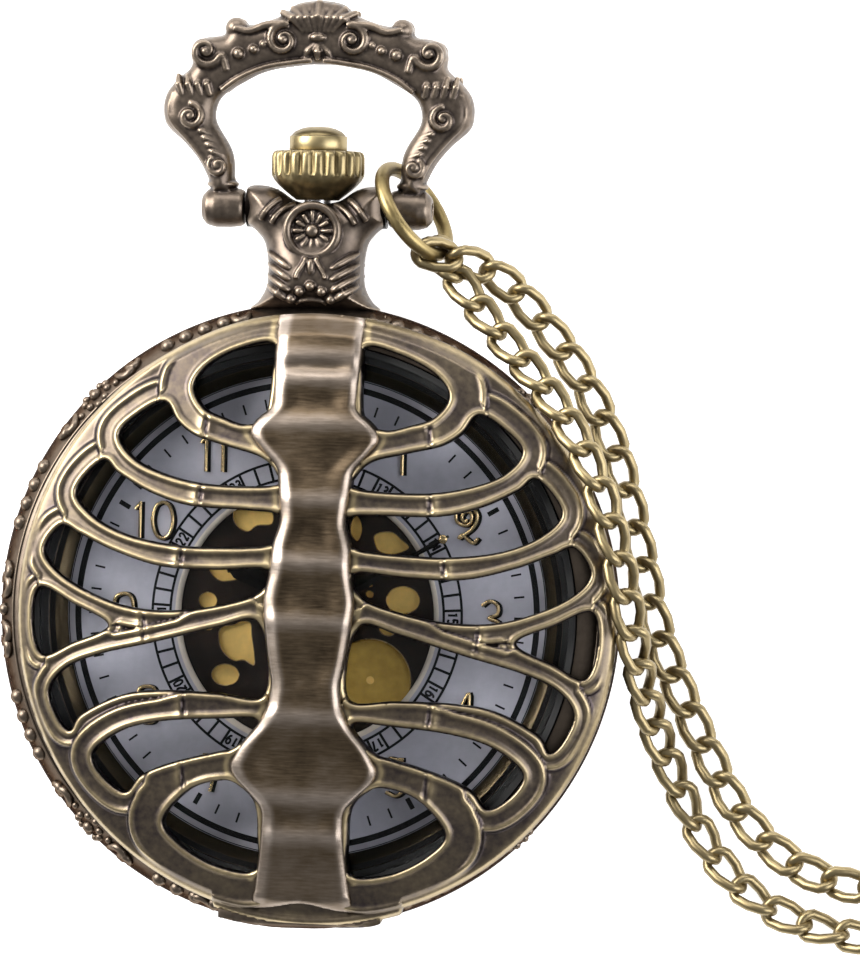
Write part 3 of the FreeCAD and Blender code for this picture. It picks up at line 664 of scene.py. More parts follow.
# ---------------------------------------------------------------- front cover
# Openings of the right-hand half, from the cover's centre: x from the spine, y upwards.
# With each go the width of the raised band round it and the level it lies at.
OPENINGS = (
    (((3.37, 20.3), (5.95, 19.8), (8.3, 18.5), (9.32, 16.9), (8.42, 15.3), (6.74, 14.6), (5.28, 14.2),
      (4.07, 14.5), (3.45, 15.5), (3.3, 18.0)), 2.75, 0.40),
    (((11.5, 15.6), (13.4, 14.6), (14.73, 13.0), (13.4, 11.2), (10.47, 10.06), (7.15, 9.6), (2.9, 9.8),
      (2.9, 10.7), (4.0, 11.8), (6.47, 12.5), (8.96, 13.2), (10.4, 14.2)), 1.85, 0.20),
    (((15.9, 11.0), (17.75, 8.7), (16.5, 6.9), (13.8, 5.6), (10.3, 5.0), (6.95, 4.96), (3.16, 5.3),
      (2.5, 6.3), (2.5, 7.6), (5.0, 7.84), (9.14, 7.97), (12.1, 8.8), (14.6, 10.1)), 1.7, 0.05),
    (((18.8, 6.0), (20.0, 4.1), (18.6, 2.3), (15.5, 0.78), (12.5, 0.1), (8.8, 0.23), (4.74, 1.23),
      (3.3, 2.2), (3.2, 3.5), (6.9, 3.3), (11.0, 3.34), (14.6, 4.3), (17.3, 5.45)), 1.55, -0.10),
    (((20.2, 1.3), (17.6, 0.2), (14.9, -1.25), (17.6, -2.7), (19.9, -3.7), (20.7, -1.2)), 1.25, -0.18),
    (((3.84, -0.36), (6.7, -1.0), (11.6, -2.4), (15.3, -3.4), (17.9, -4.55), (19.2, -6.3), (18.6, -8.3),
      (17.6, -9.3), (16.7, -8.0), (13.7, -6.4), (10.6, -5.9), (6.5, -5.9), (3.2, -6.0), (2.9, -3.0)),
     1.35, -0.05),
    (((3.5, -7.7), (6.4, -7.8), (10.5, -8.2), (13.6, -9.1), (15.7, -10.85), (15.1, -12.5), (13.3, -13.7),
      (12.0, -12.3), (9.6, -11.2), (6.3, -10.25), (5.3, -10.0), (4.2, -9.0)), 1.75, 0.15),
    (((5.8, -12.4), (8.3, -13.2), (10.3, -15.6), (9.1, -17.4), (6.4, -18.9), (3.5, -19.1), (3.3, -16.3),
      (3.5, -14.1), (4.5, -12.9)), 2.7, 0.40),
)
CARTILAGE = ((8.2, 13.75), (8.4, 8.75), (9.6, 4.1), (12.2, -1.1), (9.0, -6.85), (8.9, -12.15))
SPINE_WIDTHS = (
    (22.6, 3.15), (19.8, 3.23), (15.6, 3.08), (14.6, 4.3), (13.6, 4.92), (12.5, 4.1), (11.1, 2.77),
    (9.2, 2.6), (7.1, 2.36), (5.3, 2.9), (3.2, 3.0), (1.3, 3.36), (-0.2, 3.24), (-2.7, 2.9), (-4.9, 2.5),
    (-6.6, 2.72), (-7.9, 3.3), (-9.6, 4.66), (-11.2, 5.5), (-12.2, 5.1), (-13.0, 4.2), (-14.4, 3.03),
    (-15.9, 3.06), (-17.8, 3.2), (-19.0, 3.35), (-21.9, 3.7),
)
VERTEBRA_EDGES = (19.6, 17.9, 14.6, 8.9, 4.2, -0.2, -7.3, -13.4, -16.4)
COVER_R = 22.42
COVER_BASE_Z = 8.15
COVER_STRETCH = 1.03     # the drawn cover is widened by this
COVER_SHIFT = 0.42       # and then moved to the right by this
COVER_STEP = 0.125       # grid of the cover's mesh
TAB_REACH = 0.45
KNUCKLE_R = 1.0
TAB_HALF_WIDTH = 7.0
DOME_APEX_Z = 12.9
DOME_RADIUS = 70.6


def dome_z(r):
    return DOME_APEX_Z - DOME_RADIUS + np.sqrt(np.maximum(DOME_RADIUS ** 2 - r ** 2, 0))


def rim_distance(x, y):
    """Distance from the middle of the cover, scaled so that its outer edge is at COVER_R."""
    return np.hypot(x * COVER_R / 22.0, y * COVER_R / 22.75)


def hinge_tab(x, y):
    """How far the rim reaches out over the hinge, in a flat tab."""
    return TAB_REACH * ramp(TAB_HALF_WIDTH - np.abs(x - 0.25), 0, 0.15) * (y < 0)


def spine_half_width(y):
    places = np.array([p for p, _ in SPINE_WIDTHS])[::-1]
    widths = np.array([w for _, w in SPINE_WIDTHS])[::-1]
    total = 0
    for shift in (-0.35, 0.0, 0.35):
        total = total + np.interp(y + shift, places, widths)
    return total / 3


def band_height(distance, width):
    """Cross-section of a rib band: a lip at the opening, a shallow channel and an outer border."""
    edge = np.minimum(distance, width - distance)
    side = np.clip(edge / 0.26, 0, 1)
    round_edge = -0.24 * (1 - np.sqrt(np.clip(1 - (1 - side) ** 2, 0, 1)))
    border = 0.06 * bump(edge, 0.28, 0.17)
    channel = -0.13 * ramp(edge, 0.34, 0.70)
    return round_edge + border + channel


class CoverField:
    """Outline and relief of the cover; both use the distances to the same openings."""

    def __init__(self):
        self.loops = [(smooth_loop(points, 10), width, level) for points, width, level in OPENINGS]

    def distances(self, x, y):
        return [loop_distance(loop, np.abs(x), y) for loop, _, _ in self.loops]

    def band(self, i, distances):
        """Width of the band round opening i; it takes up a rib that is only a little wider."""
        others = np.min([distances[j] for j in range(len(distances)) if j != i], axis=0)
        width = self.loops[i][1]
        gap = distances[i] + others - width
        wide = width + np.minimum(gap, 0) + np.maximum(gap, 0) * (1 - ramp(gap, 0.3, 0.6))
        return np.maximum(wide, 0.9)

    def bands(self, x, y):
        """The bands from the lowest to the highest: distance to the opening, width, level, share."""
        distances = [np.maximum(d, 0) for d in self.distances(x, y)]
        for i in sorted(range(len(distances)), key=lambda i: self.loops[i][2]):
            wide = self.band(i, distances)
            share = 1 - ramp(distances[i], wide - 0.14, wide + 0.20)
            yield distances[i], wide, self.loops[i][2], share

    def openings(self, x, y):
        field = COVER_R + hinge_tab(x, y) - rim_distance(x, y)
        for distance in self.distances(x, y):
            field = np.minimum(field, distance)
        return field

    def half(self, sign):
        def inside(x, y):
            field = np.minimum(self.openings(x, y), sign * x + 0.002)
            under_spine = np.minimum(spine_half_width(y) - 0.35 - np.abs(x), y + 21.2)
            return np.minimum(field, -under_spine)
        return inside

    def spine(self, x, y):
        end = y - spine_end(np.abs(x))
        across = spine_half_width(y) - np.abs(x)
        return np.minimum(np.minimum(across, end), COVER_R - 0.05 - rim_distance(x, y))

    def top(self, x, y):
        """Height of the ribs and the rim."""
        r = np.hypot(x, y)
        u = np.abs(x)
        base = dome_z(r)
        relief = np.full(x.shape, -0.34)
        for distance, wide, level, share in self.bands(x, y):
            relief = relief * (1 - share) + (level + band_height(distance, wide)) * share
        for cx, cy in CARTILAGE:
            near = np.hypot(u - cx, y - cy)
            tilt = math.radians(8 if cy > 0 else -8)
            across = (u - cx) * math.cos(tilt) + (y - cy) * math.sin(tilt)
            swell = 0.14 * np.exp(-(across / 0.62) ** 2)
            cut = 0.20 * np.exp(-(across / 0.17) ** 2)
            relief = relief + (swell - cut) * np.exp(-(near / 1.15) ** 4)
        rim_r = rim_distance(x, y)
        rim_r = rim_r - hinge_tab(x, y) * ramp(rim_r, 21.4, 22.1)
        slope = 9.60 - 0.36 * (rim_r - 20.6) - 0.45 * ramp(rim_r, 22.1, 22.45)
        rim_share = ramp(rim_r, 21.5, 22.05)
        ribs_z = base + relief
        return np.maximum(ribs_z * (1 - rim_share) + slope * rim_share, COVER_BASE_Z + 0.35)

    def spine_top(self, x, y):
        """Height of the spine: waisted vertebrae with a bevel on either side, wider on the left."""
        r = np.hypot(x, y)
        u = np.abs(x)
        half = spine_half_width(y)
        body = 0.78 + 0.20 * np.sqrt(np.clip(1 - (u / half) ** 2, 0, 1))
        hollow = np.zeros_like(u)
        for upper, lower in zip(VERTEBRA_EDGES, VERTEBRA_EDGES[1:] + (-21.7,)):
            middle, span = (upper + lower) / 2, (upper - lower) / 2
            hollow += np.exp(-(np.abs(y - middle) / (span * 0.66)) ** 2)
        side = half - u
        body = body - 0.30 * hollow * ramp(side, 0.2, 2.0)
        for place in VERTEBRA_EDGES:
            body = body + 0.10 * bump(y, place, 0.65)
        chamfer = np.where(x < 0, 0.95, 0.60)
        flat = (1 - np.clip(side / chamfer, 0, 1)) ** 1.25
        fall = 0.34 * flat + 0.30 * np.clip(1 - side / 0.22, 0, 1) ** 2
        body = body - fall * (1 - 0.6 * ramp(-y, 20.2, 21.2))
        body = body - 0.12 * (1 - np.clip((y - spine_end(u)) / 0.3, 0, 1)) ** 2
        spine_z = dome_z(r) + body
        fade = ramp(r, 21.0, 22.6)
        return spine_z * (1 - fade) + (9.75 - 0.30 * (r - 21.0)) * fade

    def tone(self, x, y):
        """How rubbed and how lit the ribs and the rim are painted: lips partly rubbed bright and partly painted
        highlight, a painted highlight on the rim's edge and beside each cartilage cut, a lighter strip beside the
        spine, and painted shade at the edges of the openings and in the cuts.
        """
        u = np.abs(x)
        value = np.full(x.shape, 0.42)
        for distance, wide, _, share in self.bands(x, y):
            edge = np.minimum(distance, wide - distance)
            # Lips partly rubbed bright and partly a painted highlight; the dip at the edges is painted shade.
            own = 0.42 + 0.42 * bump(edge, 0.27, 0.18) + 0.04 * ramp(edge, 0.55, 0.95)
            own = own - 0.42 * (1 - ramp(edge, 0.0, 0.13))
            value = value * (1 - share) + own * share
        for cx, cy in CARTILAGE:
            near = np.hypot(u - cx, y - cy)
            # Painted shade in each cartilage cut, with a painted highlight beside it.
            lines = bump(u - cx, 0.42, 0.28) - bump(u - cx, 0.0, 0.14)
            value = value + 0.26 * lines * np.exp(-(near / 1.1) ** 4)
        rim_r = rim_distance(x, y)
        # Painted highlight along the rim's edge.
        rim = 0.50 + 0.30 * bump(rim_r - hinge_tab(x, y), 22.25, 0.2)
        share = ramp(rim_r, 21.6, 22.0)
        value = value * (1 - share) + rim * share
        joint = spine_half_width(y) - u
        return value + 0.45 * bump(joint, -0.30, 0.20) * (y > -20.0)

    def spine_tone(self, x, y):
        """How light each part of the spine is painted: painted highlights on the bevels, wider on the left, and on the
        vertebra ridges; painted shade at its edges.
        """
        u = np.abs(x)
        edge = np.minimum(spine_half_width(y) - u, (y - spine_end(u)) * 3 + 0.2)
        reach = np.where(x < 0, 1.15, 0.75)
        # Painted highlight on the bevels, wider on the left.
        bevel_highlight = 0.40 - 0.22 * ramp(-y, 15.0, 18.5)
        value = 0.27 + 0.07 * ramp(-y, 1.0, 7.0) + bevel_highlight * (1 - ramp(edge, reach - 0.45, reach + 0.1))
        # Painted highlight on the vertebra ridges.
        ridge_highlight = sum(bump(y, place, 0.70) for place in VERTEBRA_EDGES)
        value = value + 0.36 * np.minimum(ridge_highlight, 1.0) * ramp(edge, 0.2, 0.8)
        value = value + 0.16 * ramp(y, 20.4, 21.6) + 0.12 * (1 - ramp(y, -19.5, -16.8))
        # Painted shade along the spine's edges.
        return value - 0.45 * (1 - ramp(edge, 0.0, 0.14))

    def bottom(self, x, y):
        """The underside, hollow inside the rim."""
        r = np.hypot(x, y)
        inner = dome_z(r) - 1.15
        rim = ramp(rim_distance(x, y), 21.0, 21.5)
        return inner * (1 - rim) + COVER_BASE_Z * rim


def paint_wear(mesh, tone, bottom, unturn, pivot):
    """Stores the painted wear and light of each point: the tone on top, painted shade on the walls and underneath."""
    places = np.array([tuple(unturn @ (v.co * 1000 - pivot) + pivot) for v in mesh.vertices])
    x, y, z = places.T
    x = (x - COVER_SHIFT - spine_lean(x - COVER_SHIFT, y)) / COVER_STRETCH
    store_wear(mesh, np.where(z > bottom(x, y) + 0.25, tone(x, y), 0.0))


def spine_end(u):
    """The lower end of the spine, arched up in the middle."""
    return -21.95 + 0.55 * np.exp(-(u / 1.9) ** 2)


def spine_lean(x, y):
    """How far the top of the spine leans over to the left."""
    return -0.38 * ramp(y, 11.0, 15.5) * (1 - ramp(np.abs(x), 4.5, 11.0))


def spread(point):
    """The cover is drawn symmetrical; on the case it is slightly wider and over to the right."""
    x, y, z = point
    return Vector((x * COVER_STRETCH + COVER_SHIFT + float(spine_lean(x, y)), y, z))


def make_cover():
    field = CoverField()
    parts = (
        ("front_cover_left", field.half(-1), field.top, field.tone, COVER, (-23.0, -23.0), (0.1, 23.0)),
        ("front_cover_right", field.half(1), field.top, field.tone, COVER, (-0.1, -23.0), (23.0, 23.0)),
        ("front_cover_spine", field.spine, field.spine_top, field.spine_tone, SPINE, (-6.0, -22.9),
         (6.0, 23.0)),
    )
    turned = Matrix.Rotation(COVER_SKEW, 3, "Z")
    pivot = Vector((0, COVER_PIVOT_Y, 0))
    for name, inside, top, tone, material, low, high in parts:
        shape = sheet(inside, top, field.bottom, low, high, COVER_STEP)
        shape.points = [tuple(turned @ (spread(p) - pivot) + pivot) for p in shape.points]
        shape.points = [clear_of_hinge(p, 6.3, 0.95) for p in shape.points]
        piece = shape.build(name, material, "cover", 50.0, "cover_brass", wear_and_painted_light=False)
        paint_wear(piece.data, tone, field.bottom, turned.inverted(), pivot)
        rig.replaces(piece, "front_cover")


def clear_of_hinge(point, half_length, reach):
    """Hollows the metal next to the hinge so that it clears the round knuckles."""
    x, y, z = point
    if abs(x) > half_length:
        return point
    away = Vector((0, y - HINGE_Y, z - HINGE_Z))
    if 0 < away.length < reach:
        away = away.normalized() * reach
        return (x, HINGE_Y + away.y, HINGE_Z + away.z)
    return point


def barrel(shape, low, high):
    """A hinge knuckle along X whose outer side follows the round outline of the case."""
    first = len(shape.points)
    path = [(low + (high - low) * k / 24, HINGE_Y, HINGE_Z) for k in range(25)]
    shape.tube(path, KNUCKLE_R, 20, up=(0, 0, 1))
    for i in range(first, len(shape.points)):
        x, y, z = shape.points[i]
        shape.points[i] = (x, max(y, -math.sqrt(CASE_R ** 2 - x * x) + 0.02), z)


def make_hinge():
    lug = Shape()
    barrel(lug, -6.0, -3.05)
    barrel(lug, 3.05, 6.0)
    piece = lug.build("case_hinge_barrels", BAND, "case", 50.0, "antique_case")
    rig.replaces(piece, "case_hinge_lug")
    middle = Shape()
    barrel(middle, -2.95, 2.95)
    piece = middle.build("cover_hinge_barrel", BAND, "cover", 50.0, "cover_brass")
    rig.replaces(piece, "cover_hinge_knuckle")


# ---------------------------------------------------------------- case band and back
BAND_PROFILE = (
    (20.6, 2.4), (21.9, 2.4), (22.5, 2.62), (22.9, 3.0), (23.25, 3.6), (23.45, 4.3), (23.5, 4.9),
    (23.46, 5.4), (23.3, 6.0), (23.0, 6.7), (22.6, 7.3), (22.15, 7.75), (21.8, 8.0), (20.6, 8.0),
    (20.55, 7.9), (20.55, 7.32), (19.5, 7.3), (19.4, 7.2), (19.4, 6.95), (20.55, 6.9), (20.6, 6.8),
)


BAND_MM_TO_DEG = math.degrees(1 / 23.4)
ROSETTE_Z = 6.7


def on_band(angle_deg, z):
    """A point on the flank of the band and the outward direction there."""
    heights = [p[1] for p in BAND_PROFILE[1:12]]
    radii = [p[0] for p in BAND_PROFILE[1:12]]
    radius = float(np.interp(z, heights, radii))
    a = math.radians(angle_deg)
    return Vector((*polar(radius, a), z)), Vector((*polar(1, a), 0.7))


def band_curl(shape, angle_deg, side, size):
    """A leaf scroll on the flank: a spiral of wire that starts beside a bead."""
    path = []
    for k in range(15):
        t = k / 14
        swing = 260 * t
        reach = size * (1 - 0.7 * t)
        along = side * (size * 1.1 - reach * math.cos(math.radians(swing)))
        rise = reach * math.sin(math.radians(swing))
        place, out = on_band(angle_deg + along * BAND_MM_TO_DEG, 6.75 + rise)
        path.append(place + out * 0.10)
    wire = [0.16 + 0.20 * math.sin(math.pi * min(k / 14 + 0.12, 1)) for k in range(15)]
    shape.tube(path, wire, 8)


def make_band():
    shape = Shape()
    shape.revolve(BAND_PROFILE, segments=360)
    shape.points = [clear_of_hinge(p, 7.6, 1.12) for p in shape.points]
    ornament = Shape()
    for group in range(8):
        middle = 22.5 + 45 * group
        for k in range(4):
            place, out = on_band(middle + (k - 1.5) * 3.85, 7.0)
            ornament.ball(place - out * 0.08, 0.62)
    for corner in range(4):
        centre_angle = 45 + 90 * corner
        ornament.ball(on_band(centre_angle, ROSETTE_Z)[0], 0.5)
        for a in around(9):
            petal = on_band(centre_angle + 1.15 * math.cos(a) * BAND_MM_TO_DEG,
                            ROSETTE_Z + math.sin(a))[0]
            ornament.ball(petal, 0.34, segments=10, rings=7)
        for side in (-1, 1):
            band_curl(ornament, centre_angle + side * 5.2, side, 0.95)
            band_curl(ornament, centre_angle + side * 10.5, -side, 0.6)
            ornament.ball(on_band(centre_angle + side * 4.6, 7.3)[0], 0.3, segments=10, rings=7)
    for quarter in (0, 180):
        ornament.ball(on_band(quarter, 6.8)[0], 0.5)
        for side in (-1, 1):
            band_curl(ornament, quarter + side * 2.2, side, 0.95)
            band_curl(ornament, quarter + side * 9.0, -side, 0.75)
    for side in (-1, 1):
        for centre_angle in (90 + side * 11.5, 270 + side * 17.5):
            band_curl(ornament, centre_angle, side, 0.8)
    band = shape.build("case_band_casting", BAND, "case", 40.0, "antique_case")
    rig.replaces(band, "case_band")
    ornament.build("case_band_ornament", BAND, "case", 60.0, "antique_case")
    lines = Shape()
    lower = [on_band(k * 1.5, 3.3)[0] for k in range(240)]
    lines.tube(lower, 0.16, 8, closed=True, up=(0, 0, 1))
    past_hinge = [on_band(-69.0 + k * 1.5, 7.75)[0] for k in range(213)]
    lines.tube(past_hinge, 0.13, 8, up=(0, 0, 1))
    lines.build("case_band_edge_lines", BAND, "case", 60.0, "antique_case")


def make_back():
    shape = Shape()
    profile = [(0.001, 0.0), (8.0, 0.0), (16.5, 0.0), (17.6, 0.08), (18.6, 0.3), (19.6, 0.6),
               (20.4, 1.0), (21.0, 1.42), (21.4, 1.8), (21.5, 2.05), (21.45, 2.3), (20.5, 2.3),
               (20.5, 3.4), (19.7, 3.4), (19.7, 1.7), (18.6, 0.95), (0.001, 0.95)]
    shape.revolve(profile, segments=240)
    back = shape.build("case_back_shell", ANTIQUE, "case", 30.0, "antique_case")
    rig.replaces(back, "case_back")


# ---------------------------------------------------------------- pendant neck
NECK_OUTLINE = (
    (0.0, 31.0), (1.6, 31.15), (2.9, 31.95), (4.1, 32.3), (5.3, 32.1), (5.32, 30.7), (5.3, 29.5),
    (4.6, 28.9), (3.95, 28.1), (3.68, 27.0), (3.6, 25.8), (3.75, 24.6), (4.3, 23.6), (4.9, 22.95),
    (3.0, 22.75), (0.0, 22.75),
)
MEDALLION_Y = 28.9
CROWN_FLUTES = 22


def make_neck():
    """The neck is a flattened casting with relief on its front and back."""
    loop = smooth_loop(NECK_OUTLINE + tuple((-x, y) for x, y in NECK_OUTLINE[::-1] if x > 0), 6)

    def inside(x, y):
        return -loop_distance(loop, x, y)

    def half_thickness(x, y):
        depth = np.maximum(-loop_distance(loop, x, y), 0)
        low_part = 3.35 - 0.9 * ramp(y, 25.5, 29.5)
        round_off = np.sqrt(np.clip(1 - (1 - np.clip(depth / 2.6, 0, 1)) ** 2, 0, 1))
        return 0.35 + (low_part - 0.35) * round_off

    base = sheet(inside, lambda x, y: AXIS_Z + half_thickness(x, y),
                 lambda x, y: AXIS_Z - half_thickness(x, y), (-6.2, 22.2), (6.2, 33.2), 0.16)
    for face in (1, -1):
        def lift(x, y, extra=0.0):
            h = float(half_thickness(np.array([x]), np.array([y]))[0])
            return (x, y, AXIS_Z + face * (h + extra))

        medallion(base, face)
        for side in (-1, 1):
            for start_y in (27.3, 26.45, 25.6, 24.8):
                path = [lift(side * (3.45 - 1.85 * t), start_y - 1.25 * t, 0.05)
                        for t in np.linspace(0, 1, 9)]
                base.tube(path, [0.12, 0.2, 0.26, 0.28, 0.28, 0.28, 0.26, 0.2, 0.12], 8)
            for reach in (2.75, 3.55):
                path = []
                for a in np.radians(20 + 62 * np.linspace(0, 1, 12)):
                    x, y = polar(reach, a)
                    path.append(lift(side * (x * 1.12 + 0.25), MEDALLION_Y - 0.35 + y * 0.95, 0.06))
                path = [p for p in path if inside(np.array([p[0]]), np.array([p[1]]))[0] > 0.1]
                base.tube(path, 0.24, 8)
            for x, y in ((0.83, 24.35), (1.5, 23.75)):
                base.ball(lift(side * x, y, 0.05), 0.38)
            path = [lift(side * (0.75 - 0.35 * math.cos(math.pi * t)), 26.9 - 1.6 * t, 0.08)
                    for t in np.linspace(0, 1, 8)]
            base.tube(path, 0.17, 8)
        base.ball(lift(0, 24.75, 0.08), 0.38)
        base.ball(lift(0, 26.2, 0.02), 0.42, (0.72, 1.5, 0.7))
        crescent = [lift(1.15 * math.sin(t), 23.35 + 0.35 * math.cos(t), 0.05)
                    for t in np.linspace(-1.4, 1.4, 10)]
        base.tube(crescent, 0.16, 8)
    mesh = remeshed(base, 0.085)
    neck = finish_mesh(mesh, "pendant_neck_casting", ANTIQUE, "case", 60.0, "antique_case")
    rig.replaces(neck, "pendant_neck")


def medallion(shape, face):
    """A spoked wheel in a plain ring, on the front (1) or back (-1) of the neck."""
    z = AXIS_Z + face * 2.78
    centre = Vector((0, MEDALLION_Y, z))
    shape.tube([(*polar(1.92, a, centre), z) for a in around(48)], 0.33, 10, closed=True)
    low, high = z - face * 0.9, z - face * 0.18
    shape.revolve([(0.001, low), (1.75, low), (1.75, high), (0.001, high)],
                  centre=(0, MEDALLION_Y, 0), segments=40)
    shape.ball(centre + Vector((0, 0, face * 0.02)), 0.5, (1, 1, 0.6))
    for a in around(12):
        along = Vector((*polar(1, a), 0))
        path = [centre + along * r - Vector((0, 0, face * 0.10)) for r in (0.66, 0.9, 1.15, 1.4)]
        shape.tube(path, [0.09, 0.15, 0.20, 0.19], 8)


# ---------------------------------------------------------------- bow
BOW_OUTER = (
    (0.2, 46.3), (1.8, 46.0), (2.85, 45.15), (5.15, 44.4), (6.43, 44.8), (7.1, 44.2), (7.33, 43.6),
    (8.95, 43.3), (9.74, 42.3), (9.74, 41.2), (10.8, 40.2), (11.6, 39.1), (11.8, 37.9), (11.5, 36.7),
    (10.1, 35.4), (8.95, 34.0), (8.16, 32.4), (8.0, 31.6),
)
BOW_INNER = (
    (6.4, 31.6), (6.38, 32.1), (6.35, 33.9), (6.7, 35.2), (7.75, 37.0), (7.75, 38.2), (7.2, 39.1),
    (5.8, 40.0), (4.0, 40.9), (1.5, 41.4), (0.0, 41.45),
)


BOW_FACE = 1.45          # from the bow's middle plane to its front and back


def spiral(centre, start_r, end_r, start_deg, turns):
    """A spiral of 22 points that rises by 0.28 towards its eye."""
    path = []
    for t in (k / 21 for k in range(22)):
        a = math.radians(start_deg + 360 * turns * t)
        path.append((*polar(start_r + (end_r - start_r) * t, a, centre), 0.28 * t))
    return path


def scroll(shape, side, face, centre, start_r, start_deg, turns, wire, lead=()):
    """A scroll of wire with a ball in its eye; it winds clockwise where turns is negative."""
    z = AXIS_Z + face * BOW_FACE
    path = spiral(centre, start_r, start_r * 0.18, start_deg, turns)
    if lead:
        path = smooth_line([(x, y, 0) for x, y in lead] + [path[0]], 4)[:-1] + path
    path = [(side * x, y, z + face * h) for x, y, h in path]
    n = len(path)
    shape.tube(path, [wire * (0.55 + 0.55 * math.sin(math.pi * min(k / n + 0.15, 1)))
                      for k in range(n)], 8)
    shape.ball((side * centre[0], centre[1], z + face * 0.15), wire * 1.15)


def bow_side(shape, side, face):
    """The cast ornaments of one side of the bow, on its front (1) or back (-1)."""
    z = AXIS_Z + face * BOW_FACE
    for k in range(4):
        x = 0.38 + k * 0.72
        top = (side * x * 1.12, 46.0 - 0.10 * x * x, AXIS_Z + face * 0.75)
        shape.tube([(side * x * 0.42, 43.9, z), (side * x * 0.75, 44.9, z + face * 0.18), top],
                   [0.2, 0.33, 0.27], 8)
    scroll(shape, side, face, (2.6, 43.25), 1.25, 110, -1.35, 0.30,
           ((6.4, 44.1), (5.2, 43.9), (3.9, 44.35)))
    shape.ball((side * 6.3, 44.1, AXIS_Z + face * 0.65), 0.85)
    scroll(shape, side, face, (8.5, 42.3), 1.15, 200, 1.2, 0.30, ((6.9, 40.9), (7.2, 41.9)))
    shape.ball((side * 8.75, 42.4, AXIS_Z + face * 0.7), 0.95)
    shape.ball((side * 6.0, 42.15, z + face * 0.05), 0.45)
    shape.ball((side * 4.85, 42.5, z + face * 0.05), 0.34)
    shape.ball((side * 4.1, 42.9, z), 0.26)
    rim = smooth_line([(side * x, y + 0.28, z - face * 0.1) for x, y in
                       ((0.4, 41.45), (1.8, 41.3), (4.0, 40.9), (5.9, 40.1), (7.3, 39.1))], 5)
    shape.tube(rim, 0.22, 8)
    for k in range(4):
        x = 8.35 + 0.72 * k
        shape.tube([(side * (x - 0.25), 39.0, z - face * 0.05), (side * x, 39.8, z + face * 0.10),
                    (side * (x + 0.10), 40.6, z - face * 0.45)], [0.18, 0.28, 0.18], 8)
    scroll(shape, side, face, (9.6, 37.4), 0.98, 90, 1.3, 0.26)
    for k in range(4):
        y = 36.3 - k * 0.52
        x = 8.75 - k * 0.30
        shape.tube([(side * (x - 0.85), y - 0.25, z - face * 0.25), (side * x, y, z + face * 0.05),
                    (side * (x + 0.8), y + 0.45, z - face * 0.35)], [0.12, 0.2, 0.12], 8)
    scroll(shape, side, face, (7.45, 33.7), 0.74, 60, -1.3, 0.24)
    edge = smooth_line([(side * x, y, AXIS_Z + face * 1.15) for x, y in
                        ((10.9, 39.2), (11.25, 38.0), (10.9, 36.9), (9.7, 35.6), (8.6, 34.2),
                         (8.0, 33.0))], 5)
    shape.tube(edge, 0.2, 8)


def make_bow():
    outer = [(-x, y) for x, y in BOW_OUTER[::-1]] + list(BOW_OUTER)
    inner = list(BOW_INNER) + [(-x, y) for x, y in BOW_INNER[:-1][::-1]]
    loop = np.array(smooth_line(outer, 6) + smooth_line(inner, 6))

    def depth(x, y):
        return -loop_distance(loop, x, y)

    def half(x, y):
        d = np.clip(depth(x, y) / 1.25, 0, 1)
        return 0.25 + 1.25 * np.sqrt(np.clip(1 - (1 - d) ** 2, 0, 1))

    base = sheet(depth, lambda x, y: AXIS_Z + half(x, y), lambda x, y: AXIS_Z - half(x, y),
                 (-12.2, 31.0), (12.2, 46.8), 0.17)
    for side in (-1, 1):
        for face in (1, -1):
            bow_side(base, side, face)
        boss = [(0.55, 5.45), (1.25, 5.5), (1.42, 5.8), (1.5, 6.6), (1.5, 7.7), (1.32, 8.35),
                (0.9, 8.72), (0.55, 8.75)]
        base.revolve([(r, side * h) for r, h in boss], "X", (0, 30.6, AXIS_Z), 40)
        base.tube([(side * x, y, AXIS_Z) for x, y in ((7.1, 31.2), (7.15, 32.0), (7.25, 32.7))],
                  [1.15, 0.98, 1.0], 20)
        collar = [(side * 7.2 + 1.02 * math.cos(a), 32.35, AXIS_Z + 1.15 * math.sin(a))
                  for a in around(32)]
        base.tube(collar, 0.2, 8, closed=True)
    for face in (1, -1):
        z = AXIS_Z + face * BOW_FACE
        base.tube([(0, 44.2, z), (0, 45.0, z + face * 0.2), (0, 46.2, AXIS_Z + face * 0.8)],
                  [0.22, 0.33, 0.26], 8)
        base.ball((0, 43.45, z + face * 0.05), 0.42, (1.5, 0.8, 0.8))
        base.tube([(0, 43.0, z), (0, 42.4, z + face * 0.12), (0, 41.75, z - face * 0.1)],
                  [0.12, 0.36, 0.14], 8)
        for side in (-1, 1):
            base.tube([(side * 0.15, 43.0, z), (side * 0.75, 42.4, z),
                       (side * 1.0, 41.9, z - face * 0.15)], [0.12, 0.2, 0.1], 8)
    mesh = remeshed(base, 0.09)
    bow = finish_mesh(mesh, "bow_casting", ANTIQUE, "bow", 60.0, "antique_case")
    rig.replaces(bow, "bow")


